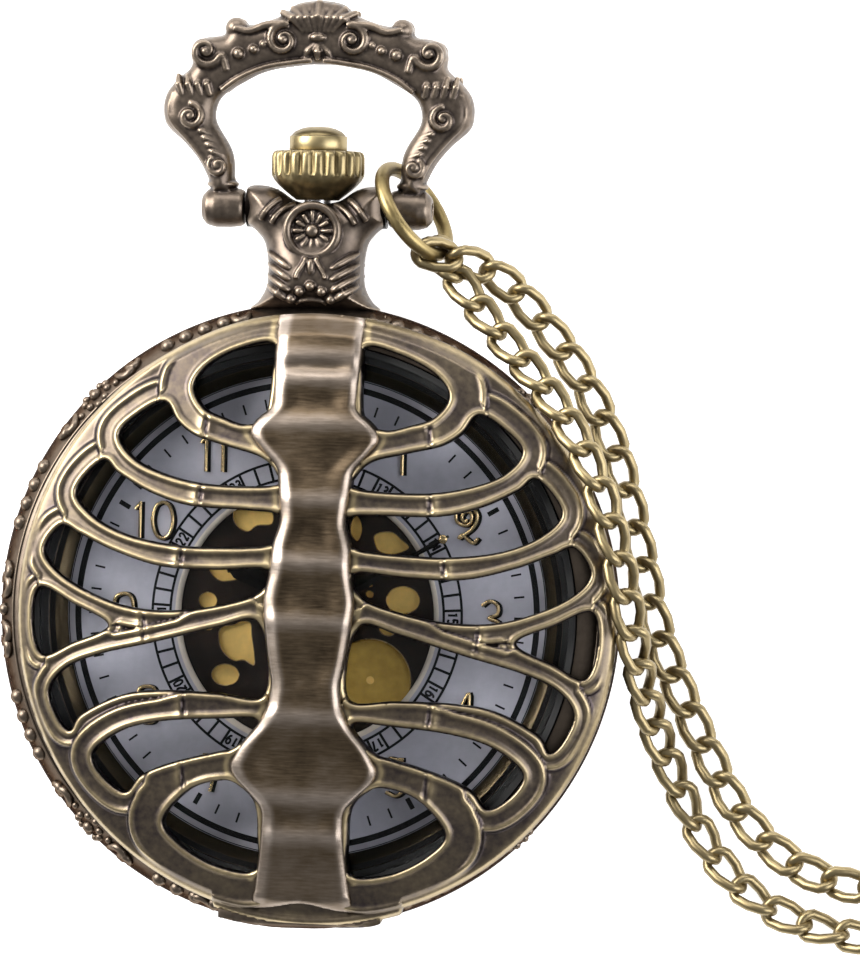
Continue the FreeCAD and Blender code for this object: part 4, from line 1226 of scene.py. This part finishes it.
# ---------------------------------------------------------------- crown, button, jump ring
def make_crown():
    """The crown's outline is turned, then each point is moved in by its share of the groove there."""
    profile = [(1.1, 31.25, 0), (1.6, 31.25, 0), (2.0, 31.55, 0), (2.5, 31.95, 0), (3.0, 32.4, 0),
               (3.3, 32.75, 0), (3.48, 33.05, 0.25), (3.52, 33.3, 1.0), (3.52, 34.45, 1.0),
               (3.47, 34.68, 1.0), (3.36, 34.84, 0.7), (3.18, 34.93, 0.2), (2.9, 34.95, 0),
               (2.4, 34.9, 0), (2.28, 34.7, 0), (2.25, 34.3, 0), (1.1, 34.3, 0)]
    steps = CROWN_FLUTES * 12
    shape = Shape()
    shape.revolve([(r, y) for r, y, _ in profile], "Y", segments=steps)
    shape.points = []
    for a in around(steps):
        groove = 0.26 * abs(math.cos(a * CROWN_FLUTES / 2)) ** 4
        for r, y, share in profile:
            x, z = (r - groove * share) * math.sin(a), (r - groove * share) * math.cos(a)
            shape.points.append((x, y, AXIS_Z + z))
    crown = shape.build("crown_knurled", CROWN, "crown", 40.0, "crown_brass")
    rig.replaces(crown, "crown")
    button = Shape()
    button.revolve([(0.55, 34.95), (2.12, 34.95), (2.175, 35.05), (2.175, 36.0), (2.12, 36.08),
                    (2.02, 36.1), (1.98, 36.2), (1.75, 36.42), (1.3, 36.63), (0.8, 36.75),
                    (0.001, 36.8), (0.001, 35.12), (0.55, 35.12)], "Y", (0, 0, AXIS_Z), 96)
    cap = button.build("button_cap", CROWN, "button", 45.0, "crown_brass")
    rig.replaces(cap, "crown_button")


def make_jump_ring():
    normal = Vector((0.80, 0.516, 0.31)).normalized()
    first = normal.cross(Vector((0, 0, 1))).normalized()
    second = normal.cross(first)
    centre = Vector((7.35, 30.5, 4.4))
    path = [centre + first * (3.73 * math.cos(a)) + second * (3.73 * math.sin(a)) for a in around(96)]
    shape = Shape()
    shape.tube(path, 0.55, 20, closed=True, up=tuple(normal))
    ring = shape.build("jump_ring_wire", RING, "ring", 60.0, "ring_brass")
    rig.replaces(ring, "jump_ring")


# ---------------------------------------------------------------- dial
# Centre lines of the figures in a box one wide and one high, each as one run of points.
DIGITS = {
    "0": ((0.5, 1.0), (0.2, 0.88), (0.05, 0.5), (0.2, 0.12), (0.5, 0.0), (0.8, 0.12), (0.95, 0.5),
          (0.8, 0.88), (0.5, 1.0)),
    "1": ((0.22, 0.78), (0.42, 0.90), (0.56, 1.0), (0.56, 0.5), (0.56, 0.0)),
    "2": ((0.10, 0.76), (0.22, 0.94), (0.52, 1.0), (0.84, 0.88), (0.86, 0.66), (0.62, 0.42),
          (0.10, 0.0), (0.5, 0.02), (0.92, 0.0)),
    "3": ((0.12, 0.86), (0.45, 1.0), (0.80, 0.88), (0.80, 0.64), (0.42, 0.53), (0.84, 0.42),
          (0.90, 0.18), (0.5, 0.0), (0.08, 0.14)),
    "4": ((0.70, 0.0), (0.70, 0.5), (0.70, 1.0), (0.38, 0.64), (0.06, 0.30), (0.5, 0.30), (0.96, 0.30)),
    "5": ((0.84, 1.0), (0.50, 1.0), (0.20, 1.0), (0.14, 0.56), (0.50, 0.64), (0.88, 0.48),
          (0.88, 0.18), (0.5, 0.0), (0.08, 0.10)),
    "6": ((0.80, 0.94), (0.40, 0.86), (0.10, 0.45), (0.18, 0.10), (0.5, 0.0), (0.86, 0.12),
          (0.88, 0.42), (0.55, 0.58), (0.16, 0.44)),
    "7": ((0.08, 1.0), (0.5, 1.0), (0.94, 1.0), (0.62, 0.5), (0.40, 0.0)),
    "8": ((0.5, 0.53), (0.14, 0.72), (0.2, 0.94), (0.5, 1.0), (0.8, 0.94), (0.86, 0.72), (0.5, 0.53),
          (0.08, 0.32), (0.15, 0.06), (0.5, 0.0), (0.85, 0.06), (0.92, 0.32), (0.5, 0.53)),
    "9": ((0.84, 0.56), (0.45, 0.42), (0.12, 0.58), (0.14, 0.88), (0.5, 1.0), (0.82, 0.90),
          (0.90, 0.55), (0.60, 0.14), (0.20, 0.06)),
}
CURLED_TWO = ((0.52, 0.66), (0.36, 0.62), (0.26, 0.76), (0.44, 0.90), (0.68, 0.82), (0.62, 0.58),
              (0.34, 0.52), (0.06, 0.62), (0.02, 0.86), (0.30, 1.04), (0.70, 1.02), (0.94, 0.78),
              (0.78, 0.48), (0.34, 0.24), (0.14, 0.16), (0.30, 0.26), (0.52, 0.14), (0.78, 0.04),
              (0.98, 0.18))
HOUR_R = 13.9            # distances from the dial's centre
TICK_R = 16.12
LADDER_R = 11.04


def strokes(text, width, height, gap, curled=False):
    """Centre lines of a number, centred on the origin."""
    total = len(text) * width + (len(text) - 1) * gap
    lines = []
    for place, digit in enumerate(text):
        left = -total / 2 + place * (width + gap)
        line = CURLED_TWO if curled and text == "2" else DIGITS[digit]
        points = [(left + x * width, (y - 0.5) * height) for x, y in line]
        lines.append(smooth_line(points, 4) if digit != "1" else points)
    return lines


def flat_ring(shape, outer, inner, z, height):
    shape.revolve([(inner, z), (outer, z), (outer, z + height), (inner, z + height)], segments=240)


def flat_bar(shape, radius, angle, length, width, z, height):
    """A small raised bar that points away from the dial's centre."""
    along = Vector((*polar(1, angle), 0))
    side = Vector((-along.y, along.x, 0))
    c = Vector((*polar(radius, angle), z))
    corners = [c + along * (sx * length / 2) + side * (sy * width / 2)
               for sx, sy in ((-1, -1), (1, -1), (1, 1), (-1, 1))]
    points = corners + [p + Vector((0, 0, height)) for p in corners]
    shape.add(points, [(3, 2, 1, 0), (4, 5, 6, 7), (0, 1, 5, 4), (1, 2, 6, 5), (2, 3, 7, 6),
                       (3, 0, 4, 7)])


def make_dial():
    plate = Shape()
    plate.revolve([(9.62, 5.9), (20.4, 5.9), (20.4, DIAL_TOP), (10.02, DIAL_TOP), (9.72, 6.24),
                   (9.62, 6.12)], segments=240)
    dial = plate.build("dial_disc", DIAL, "case", 30.0, "dial_grey", wear_and_painted_light=False)
    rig.replaces(dial, "dial")
    # Pale bevel ring round the dial's opening: its colour is a painted highlight.
    edge = Shape()
    edge.revolve([(9.58, 6.02), (10.0, DIAL_TOP - 0.01), (10.0, DIAL_TOP + 0.03),
                  (9.86, DIAL_TOP + 0.05), (9.62, 6.2)], segments=240)
    edge.build("dial_edge", PALE_EDGE_HIGHLIGHT, "case", 50.0, "dial_grey", wear_and_painted_light=False)

    ink = Shape()
    z = DIAL_TOP
    for outer, inner, height in ((17.62, 17.16, 0.02), (18.12, 18.04, 0.02), (11.82, 11.63, 0.012),
                                 (10.46, 10.27, 0.012)):
        flat_ring(ink, outer, inner, z, height)
    small = []
    for minute in range(60):
        angle = math.radians(90 - 6 * minute)
        hour_mark = minute % 5 == 0
        length, width = (0.9, 0.36) if hour_mark else (0.78, 0.15)
        flat_bar(ink, TICK_R, angle, length, width, z, 0.014)
        flat_bar(ink, LADDER_R, math.radians(90 - 6 * (minute + 0.5)), 1.26, 0.20, z, 0.012)
        if hour_mark:
            number = 12 + (minute // 5 or 12)
            turned = Matrix.Rotation(angle - math.pi / 2, 3, "Z")
            centre = Vector((*polar(LADDER_R, angle), z + 0.004))
            for line in strokes(str(number), 0.36, 0.72, 0.14):
                small.append([centre + turned @ Vector((x, y, 0)) for x, y in line])
    for path in small:
        ink.tube(path, 0.085, 6, flatten=0.3, up=(0, 0, 1))
    ink.build("dial_print", INK, "case", 40.0, "dial_grey", wear_and_painted_light=False)
    grey = Shape()
    flat_ring(grey, 18.04, 17.64, z, 0.03)
    grey.build("dial_grey_ring", GREY_RING, "case", 40.0, "dial_grey", wear_and_painted_light=False)

    gold = Shape()
    shadow = Shape()
    for hour in range(1, 13):
        angle = math.radians(90 - 30 * hour)
        centre = Vector((*polar(HOUR_R, angle), z))
        width = 1.15 if hour > 9 else 1.75
        shift, gap = (-0.3, 0.12) if hour == 11 else (0.0, 0.42)
        for line in strokes(str(hour), width, 2.75, gap, curled=True):
            if hour == 10 and max(x for x, _ in line) > 0.5:    # the nought is broad
                line = [((x - 0.6) * 1.5 + 0.72, y) for x, y in line]
            path = [centre + Vector((x + shift, y, 0.20)) for x, y in line]
            gold.tube(path, 0.14, 8, up=(0, 0, 1))
            # Painted shadow: a dark copy of each figure, set below and to its right.
            shadow_line = [p + Vector((0.16, -0.03, -0.17)) for p in path]
            shadow.tube(shadow_line, 0.17, 8, flatten=0.35, up=(0, 0, 1))
    figures = gold.build("dial_numerals_gold", GOLD, "case", 60.0, "gilt", wear_and_painted_light=False)
    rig.replaces(figures, "dial_numerals")
    shadow.build("dial_numerals_foot", INK, "case", 60.0, "gilt", wear_and_painted_light=False)


def round_window(x, y, half_width, half_height):
    return tuple((x + half_width * math.cos(a), y + half_height * math.sin(a)) for a in around(8))


# Windows of the dark plate under the dial opening.
WINDOWS = (
    ((-5.8, 7.45), (-5.6, 7.8), (-4.2, 7.85), (-2.9, 7.8), (-2.83, 6.8), (-3.95, 6.65), (-4.6, 6.2),
     (-5.2, 6.35), (-5.7, 6.85)),
    ((-7.57, 3.35), (-7.3, 2.86), (-6.7, 2.42), (-6.07, 2.42), (-5.32, 2.6), (-5.07, 2.98),
     (-5.4, 3.35), (-5.82, 3.3), (-6.07, 3.1), (-6.2, 3.35), (-6.6, 3.6), (-7.3, 3.7)),
    round_window(-7.6, 0.95, 0.72, 0.66), round_window(-7.6, -0.68, 0.66, 0.64),
    ((-6.76, -1.88), (-6.7, -1.26), (-6.3, -0.95), (-5.57, -0.82), (-5.07, -0.57), (-4.33, -0.64),
     (-4.2, -1.63), (-4.0, -2.88), (-4.0, -3.88), (-4.83, -3.5), (-5.45, -3.57), (-6.07, -3.25),
     (-6.57, -2.63)),
    round_window(-6.18, -4.62, 1.08, 0.84),
    ((3.6, 7.6), (3.2, 7.1), (3.15, 6.2), (3.65, 5.6), (4.0, 6.2), (3.98, 7.0)),
    ((4.9, 5.8), (5.03, 6.2), (5.65, 6.4), (6.4, 6.35), (7.0, 5.85), (7.6, 5.2), (6.5, 4.7),
     (5.3, 4.9)),
    round_window(7.2, 1.28, 1.3, 1.06),
    ((4.35, 1.75), (4.6, 2.0), (5.0, 1.8), (4.9, 1.4), (4.5, 1.4)),
    ((4.5, 2.3), (4.75, 2.55), (4.95, 2.3), (4.7, 2.15)),
    ((5.4, -0.9), (6.0, -0.75), (6.7, -1.1), (6.3, -1.45), (5.75, -1.35)),
    ((5.0, -8.2), (5.6, -7.9), (6.0, -8.3), (5.5, -8.8)),
    ((-3.6, -7.0), (-2.9, -6.8), (-2.6, -7.5), (-3.3, -7.9)),
)
BIG_DISC = (4.78, -4.8, 3.15)


def make_plates():
    loops = [smooth_loop(points, 5) for points in WINDOWS]
    bx, by, br = BIG_DISC

    def inside(x, y):
        r = np.hypot(x, y)
        field = np.minimum(10.5 - r, r - 1.0)
        for loop in loops:
            field = np.minimum(field, loop_distance(loop, x, y))
        disc = np.hypot(x - bx, y - by) - br
        disc = np.maximum(disc, 2.7 - x)
        return np.minimum(field, disc)

    plate = sheet(inside, lambda x, y: np.full(x.shape, 5.85),
                  lambda x, y: np.full(x.shape, 5.55), (-10.6, -10.6), (10.6, 10.6), 0.11)
    dark = plate.build("skeleton_cutout", BROWN, "case", 30.0, "skeleton_brown", wear_and_painted_light=False)
    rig.replaces(dark, "skeleton_plate")
    under = Shape()
    under.revolve([(1.0, 5.15), (10.5, 5.15), (10.5, 5.45), (1.0, 5.45)], segments=160)
    gilt = under.build("gilt_disc", WINDOW_GOLD, "case", 30.0, "gilt", wear_and_painted_light=False)
    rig.replaces(gilt, "gilt_plate")
    wheel = Shape()
    wheel.revolve([(0.3, 5.46), (br - 0.05, 5.46), (br - 0.05, 5.60), (br - 0.14, 5.68),
                   (br - 0.26, 5.62), (br - 0.5, 5.56), (0.3, 5.50)], centre=(bx, by, 0), segments=120)
    wheel.build("barrel_disc", BARREL, "case", 35.0, "gilt", wear_and_painted_light=False)
    rims = Shape()
    for loop in loops:
        rims.tube([(x, y, 5.72) for x, y in loop], 0.07, 6, closed=True, up=(0, 0, 1))
    # Painted highlight: a bright arc round the right side of the big disc.
    highlight_arc = [(*polar(br, a, (bx, by)), 5.72)
           for a in np.linspace(math.radians(-125), math.radians(130), 80)]
    rims.tube([p for p in highlight_arc if p[0] > 2.75], 0.08, 6, up=(0, 0, 1))
    rims.build("window_edges", GOLD, "case", 60.0, "gilt", wear_and_painted_light=False)


def hand(name, node, body, length, tail, angle_deg, z, widths, material):
    """A slim tapered hand; widths are (share of length, half width) pairs."""
    angle = math.radians(90 - angle_deg)
    along = Vector((*polar(1, angle), 0))
    side = Vector((-along.y, along.x, 0))
    shape = Shape()
    rows = [along * (-tail + (length + tail) * s) for s, _ in widths]
    points = []
    for (s, w), c in zip(widths, rows):
        ridge = 0.09 + w * 0.25
        points += [c + side * across + Vector((0, 0, z + rise))
                   for across, rise in ((w, 0), (0, ridge), (-w, 0), (0, -0.04))]
    faces = []
    for i in range(len(rows) - 1):
        for k in range(4):
            m = (k + 1) % 4
            faces.append((i * 4 + k, i * 4 + m, i * 4 + 4 + m, i * 4 + 4 + k))
    faces.append((3, 2, 1, 0))
    last = len(points) - 4
    faces.append((last, last + 1, last + 2, last + 3))
    shape.add(points, faces)
    shape.revolve([(0.26, z - 0.04), (1.1, z - 0.04), (1.1, z + 0.10), (0.26, z + 0.10)], segments=48)
    piece = shape.build(name, material, body, 25.0, "hand_black", wear_and_painted_light=False)
    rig.replaces(piece, node)
    return along


def make_hands():
    hand("hour_hand_blade", "hour_hand", "hour", 8.6, 1.5, 305, 6.80,
         ((0, 0.25), (0.15, 0.3), (0.55, 0.55), (0.75, 0.95), (0.86, 0.55), (1.0, 0.05)), BLACK)
    along = hand("minute_hand_blade", "minute_hand", "minute", 12.4, 2.0, 60, 7.15,
                 ((0, 0.22), (0.14, 0.3), (0.5, 0.42), (0.82, 0.16), (0.90, 0.22), (1.0, 0.10)), BLACK)
    tip = Shape()
    c = along * 11.9
    tip.ball((c.x, c.y, 7.28), 0.30, (1.2, 1.2, 0.5))
    tip.build("minute_hand_tip", GOLD, "minute", 60.0, "gilt", wear_and_painted_light=False)
    hand("second_hand_blade", "second_hand", "second", 12.0, 3.4, 180, 7.45,
         ((0, 0.22), (0.2, 0.16), (0.25, 0.10), (1.0, 0.06)), BLACK)


def make_bezel():
    slope = Shape()
    slope.revolve([(18.15, 6.34), (19.0, 6.34), (19.0, 7.14), (18.92, 7.12), (18.26, 6.52),
                   (18.18, 6.44)], segments=240)
    piece = slope.build("bezel_slope", BEZEL, "case", 35.0, "bezel_bronze", wear_and_painted_light=False)
    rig.replaces(piece, "bezel_ring")
    black = Shape()
    black.revolve([(19.0, 6.34), (20.45, 6.34), (20.45, 7.28), (19.9, 7.27), (19.4, 7.22),
                   (19.1, 7.17), (19.0, 7.15)], segments=240)
    black.build("bezel_black", BLACK, "case", 35.0, "bezel_bronze", wear_and_painted_light=False)


# ---------------------------------------------------------------- chain
# Each strand from the jump ring to where its coil starts; the inner one lies on the cover's rim.
INNER_REST = (
    (8.85, 28.1, 4.4), (11.0, 25.1, 4.8), (14.4, 21.0, 6.4), (18.4, 17.0, 8.4), (21.9, 11.5, 9.95),
    (23.9, 5.0, 10.2), (24.95, -1.7, 8.7), (25.9, -7.4, 4.2), (27.6, -12.0, 1.5), (29.5, -16.2, 1.3),
    (32.1, -19.7, 1.3),
    (35.9, -22.3, 1.3), (41.5, -23.6, 1.3), (48.4, -24.6, 1.3), (55.4, -26.0, 1.3), (60.6, -27.4, 1.3),
)
OUTER_REST = (
    (7.95, 27.49, 6.33), (12.9, 27.0, 3.9), (16.6, 22.9, 2.2), (20.4, 17.9, 1.35), (23.0, 11.7, 1.3),
    (24.6, 5.0, 1.3), (26.0, -1.2, 1.3), (28.1, -6.0, 1.3), (30.2, -10.4, 1.3), (32.0, -14.0, 1.3),
    (34.8, -17.0, 1.3), (38.2, -19.2, 1.3), (43.2, -20.0, 1.9), (48.6, -20.5, 3.95),
    (53.6, -22.4, 3.95), (58.0, -25.0, 3.95),
)
COIL_CENTRE = (69.5, -10.0)
LINK_PITCH = 2.88
LINK_HALF_STRAIGHT = 0.74
LINK_HALF_WIDTH = 0.98
LINK_WIRE_R = 0.40
LINK_TWIST = math.radians(44)


def coil_points(start_deg, turns, z):
    """A flat coil, wound inwards, with 14 points to the turn."""
    return [(*polar(19.5 - 2.75 * t, math.radians(start_deg + 360 * t), COIL_CENTRE), z)
            for t in (k / 14 for k in range(int(turns * 14) + 1))]


def centre_line(control, name):
    """Points along a smooth curve through the control points, in metres."""
    curve = bpy.data.curves.new(name, "CURVE")
    curve.dimensions = "3D"
    curve.resolution_u = 10
    spline = curve.splines.new("NURBS")
    spline.points.add(len(control) - 1)
    for point, place in zip(spline.points, control):
        point.co = (*[c * MM for c in place], 1.0)
    spline.order_u = 3
    spline.use_endpoint_u = True
    holder = bpy.data.objects.new(name, curve)
    link(holder)
    mesh = bpy.data.meshes.new_from_object(holder.evaluated_get(bpy.context.evaluated_depsgraph_get()))
    line = [tuple(v.co) for v in mesh.vertices]
    bpy.data.objects.remove(holder)
    bpy.data.curves.remove(curve)
    bpy.data.meshes.remove(mesh)
    return line


def point_along(line, distance, table):
    """The point at a distance along the line; the table holds each point's distance."""
    i = min(max(int(np.searchsorted(table, distance)), 1), len(table) - 1)
    a, b = Vector(line[i - 1]), Vector(line[i])
    span = table[i] - table[i - 1]
    t = (distance - table[i - 1]) / span if span else 0
    return a.lerp(b, t)


def make_links(name, line, lean_deg):
    """One mesh of twisted chain links strung along a centre line given in metres."""
    steps = np.linalg.norm(np.diff(np.array(line), axis=0), axis=1)
    table = np.concatenate([[0], np.cumsum(steps)])
    total = float(table[-1])
    shape = Shape()
    oval = []
    for a in around(20):
        x, y = polar(LINK_HALF_WIDTH, a)
        end = 1 if math.cos(a) > 0.01 else -1 if math.cos(a) < -0.01 else 0
        oval.append((LINK_HALF_STRAIGHT * end + x, y))
    for i in range(int(total * 1000 / LINK_PITCH)):
        here = point_along(line, LINK_PITCH * (i + 0.5) / 1000, table)
        before = point_along(line, max((LINK_PITCH * i - 0.4) / 1000, 0), table)
        after = point_along(line, min((LINK_PITCH * (i + 1) + 0.4) / 1000, total), table)
        along = (after - before).normalized()
        centre = (before + after) / 2 * 0.5 + here * 0.5
        up = Vector((0, 0, 1)) - along * along.z
        up = up.normalized() if up.length > 0.05 else Vector((0, 1, 0))
        lean = math.radians(lean_deg + RANDOM.uniform(-10, 10))
        side = along.cross(up)
        path = []
        for u, v in oval:
            roll = lean + LINK_TWIST * u / (LINK_HALF_STRAIGHT + LINK_HALF_WIDTH)
            path.append(centre * 1000 + along * u + (side * math.cos(roll) + up * math.sin(roll)) * v)
        normal = up * math.cos(lean) - side * math.sin(lean)
        shape.tube(path, LINK_WIRE_R, 8, closed=True, up=tuple(normal))
    return shape.build(name, CHAIN, None, 70.0, "chain_brass"), total


def make_chain():
    inner = list(INNER_REST) + coil_points(-103, 3.2, 1.3)
    for degrees, r in ((-5, 9.9), (25, 9.5), (60, 8.8), (95, 7.9), (130, 6.9), (160, 5.9), (180, 5.2)):
        inner.append((*polar(r, math.radians(degrees), COIL_CENTRE), 1.35))
    inner.append((64.8, -11.0, 1.45))
    outer = list(OUTER_REST) + coil_points(-118, 2.9, 3.9)
    outer += [(60.4, -17.0, 3.8), (62.75, -18.2, 3.6), (67.2, -18.9, 2.6), (69.9, -18.5, 1.7)]
    ends = [bpy.data.objects[n] for n in ("clasp_body", "clasp_gate", "clasp_rivet", "clasp_ring")]
    for name, control, tube, coil, lean_deg, far in (
            ("chain_inner_links", inner, "chain_strand_inner", "chain_coil_lower", 34, ends[:3]),
            ("chain_outer_links", outer, "chain_strand_outer", "chain_coil_upper", 2, ends[3:])):
        line = centre_line(control, name)
        piece, total = make_links(name, line, lean_deg)
        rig.replaces(piece, tube, coil)
        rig.blend(piece, "case", "bow", start=(0.0125, 0.024, 0.0046), end=(0.0102, 0.0263, 0.0044))
        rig.cord(piece, exit=line[0], length=round(total, 4), diameter=0.0026, far_end="fitting",
                stiffness="limp", lay="loose", path=line, with_pieces=far)


make_cover()
make_hinge()
make_band()
make_back()
make_neck()
make_bow()
make_crown()
make_jump_ring()
make_dial()
make_plates()
make_hands()
make_bezel()
make_chain()

# Parts that keep their CAD shape.
NODE_MATERIALS = {
    ANTIQUE: ("hinge_pin", "bow_pivot_screws", "pendant_arms"),
    CHAIN: ("clasp_body", "clasp_gate", "clasp_ring"),
    GILT: ("cannon_pinion", "hour_wheel", "minute_wheel", "second_wheel", "third_wheel", "centre_wheel",
           "intermediate_wheel", "train_bridge"),
    STEEL: ("stem", "crown_cross_pin", "button_sleeve", "setting_lever", "cover_catch",
            "cover_lift_spring", "battery", "battery_strap", "main_plate", "bridge_screws",
            "motor_stator", "quartz_can", "clasp_rivet", "rotor"),
    GLASS: ("crystal",),
    RUBBER: ("back_gasket", "crystal_gasket"),
    NYLON: ("movement_holder",),
    COPPER: ("motor_coil",),
    BOARD: ("circuit_board",),
}
for material, names in NODE_MATERIALS.items():
    for name in names:
        cad = bpy.data.objects[name]
        if not cad.material_slots:
            cad.data.materials.append(material)
        for place in cad.material_slots:
            place.material = material


# ---------------------------------------------------------------- table, light, camera
def area_light(name, place, target, size, power, colour):
    data = bpy.data.lights.new(name, "AREA")
    data.shape = "RECTANGLE"
    data.size, data.size_y = size
    data.energy = power
    data.color = colour
    light = bpy.data.objects.new(name, data)
    light.location = place
    light.rotation_euler = (Vector(target) - light.location).to_track_quat("-Z", "Y").to_euler()
    link(light)


TABLE_REACH = 2.0
TABLE_Z = -0.00003
table_mesh = bpy.data.meshes.new("table_top")
table_mesh.from_pydata([(x * TABLE_REACH, y * TABLE_REACH, TABLE_Z)
                        for x, y in ((-1, -1), (1, -1), (1, 1), (-1, 1))], [], [(0, 1, 2, 3)])
table = bpy.data.objects.new("table_top", table_mesh)
link(table)
paper, _, paper_shader = new_material("white paper")
for key, value in (("Base Color", (0.95, 0.95, 0.95, 1.0)), ("Roughness", 0.8),
                   ("Emission Color", (1.0, 1.0, 1.0, 1.0)), ("Emission Strength", 0.85)):
    paper_shader.inputs[key].default_value = value
table_mesh.materials.append(paper)
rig.stage(table)

world = bpy.data.worlds.new("studio")
bpy.context.scene.world = world
world.use_nodes = True
background = world.node_tree.nodes["Background"]
background.inputs["Color"].default_value = (1.0, 1.0, 1.0, 1.0)
background.inputs["Strength"].default_value = 0.34
bpy.context.scene.view_settings.view_transform = "Standard"

middle = (0.009, 0.0, 0.005)
area_light("key", (-0.50, 0.30, 0.38), middle, (0.45, 0.40), 9.0, (1.0, 0.98, 0.95))
area_light("fill", (0.55, 0.00, 0.30), middle, (0.35, 0.6), 3.5, (0.96, 0.97, 1.0))
area_light("back", (0.05, 0.60, 0.30), middle, (0.7, 0.25), 2.6, (1.0, 0.99, 0.98))

CAMERA_DISTANCE = 0.6
camera_data = bpy.data.cameras.new("camera")
camera_data.lens = 334.0
camera_data.sensor_fit = "HORIZONTAL"
camera_data.sensor_width = 36.0
camera_data.clip_start = 0.01
camera = bpy.data.objects.new("camera", camera_data)
target = Vector((0.00898, 0.01026, 0.005))
tilt_x, tilt_y, roll = math.radians(7.0), math.radians(1.0), math.radians(1.0)
direction = Vector((math.tan(tilt_x), math.tan(tilt_y), 1)).normalized()
camera.location = target + direction * CAMERA_DISTANCE
link(camera)
right = Vector((0, 1, 0)).cross(direction).normalized()
upward = direction.cross(right)
facing = Matrix((right, upward, direction)).transposed() @ Matrix.Rotation(roll, 3, "Z")
camera.rotation_euler = facing.to_euler()
bpy.context.scene.camera = camera

with open("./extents.json", "w") as out:
    json.dump({"cad": [list(c) for c in cad_box], "scene": [list(c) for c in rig.bounds()]}, out)
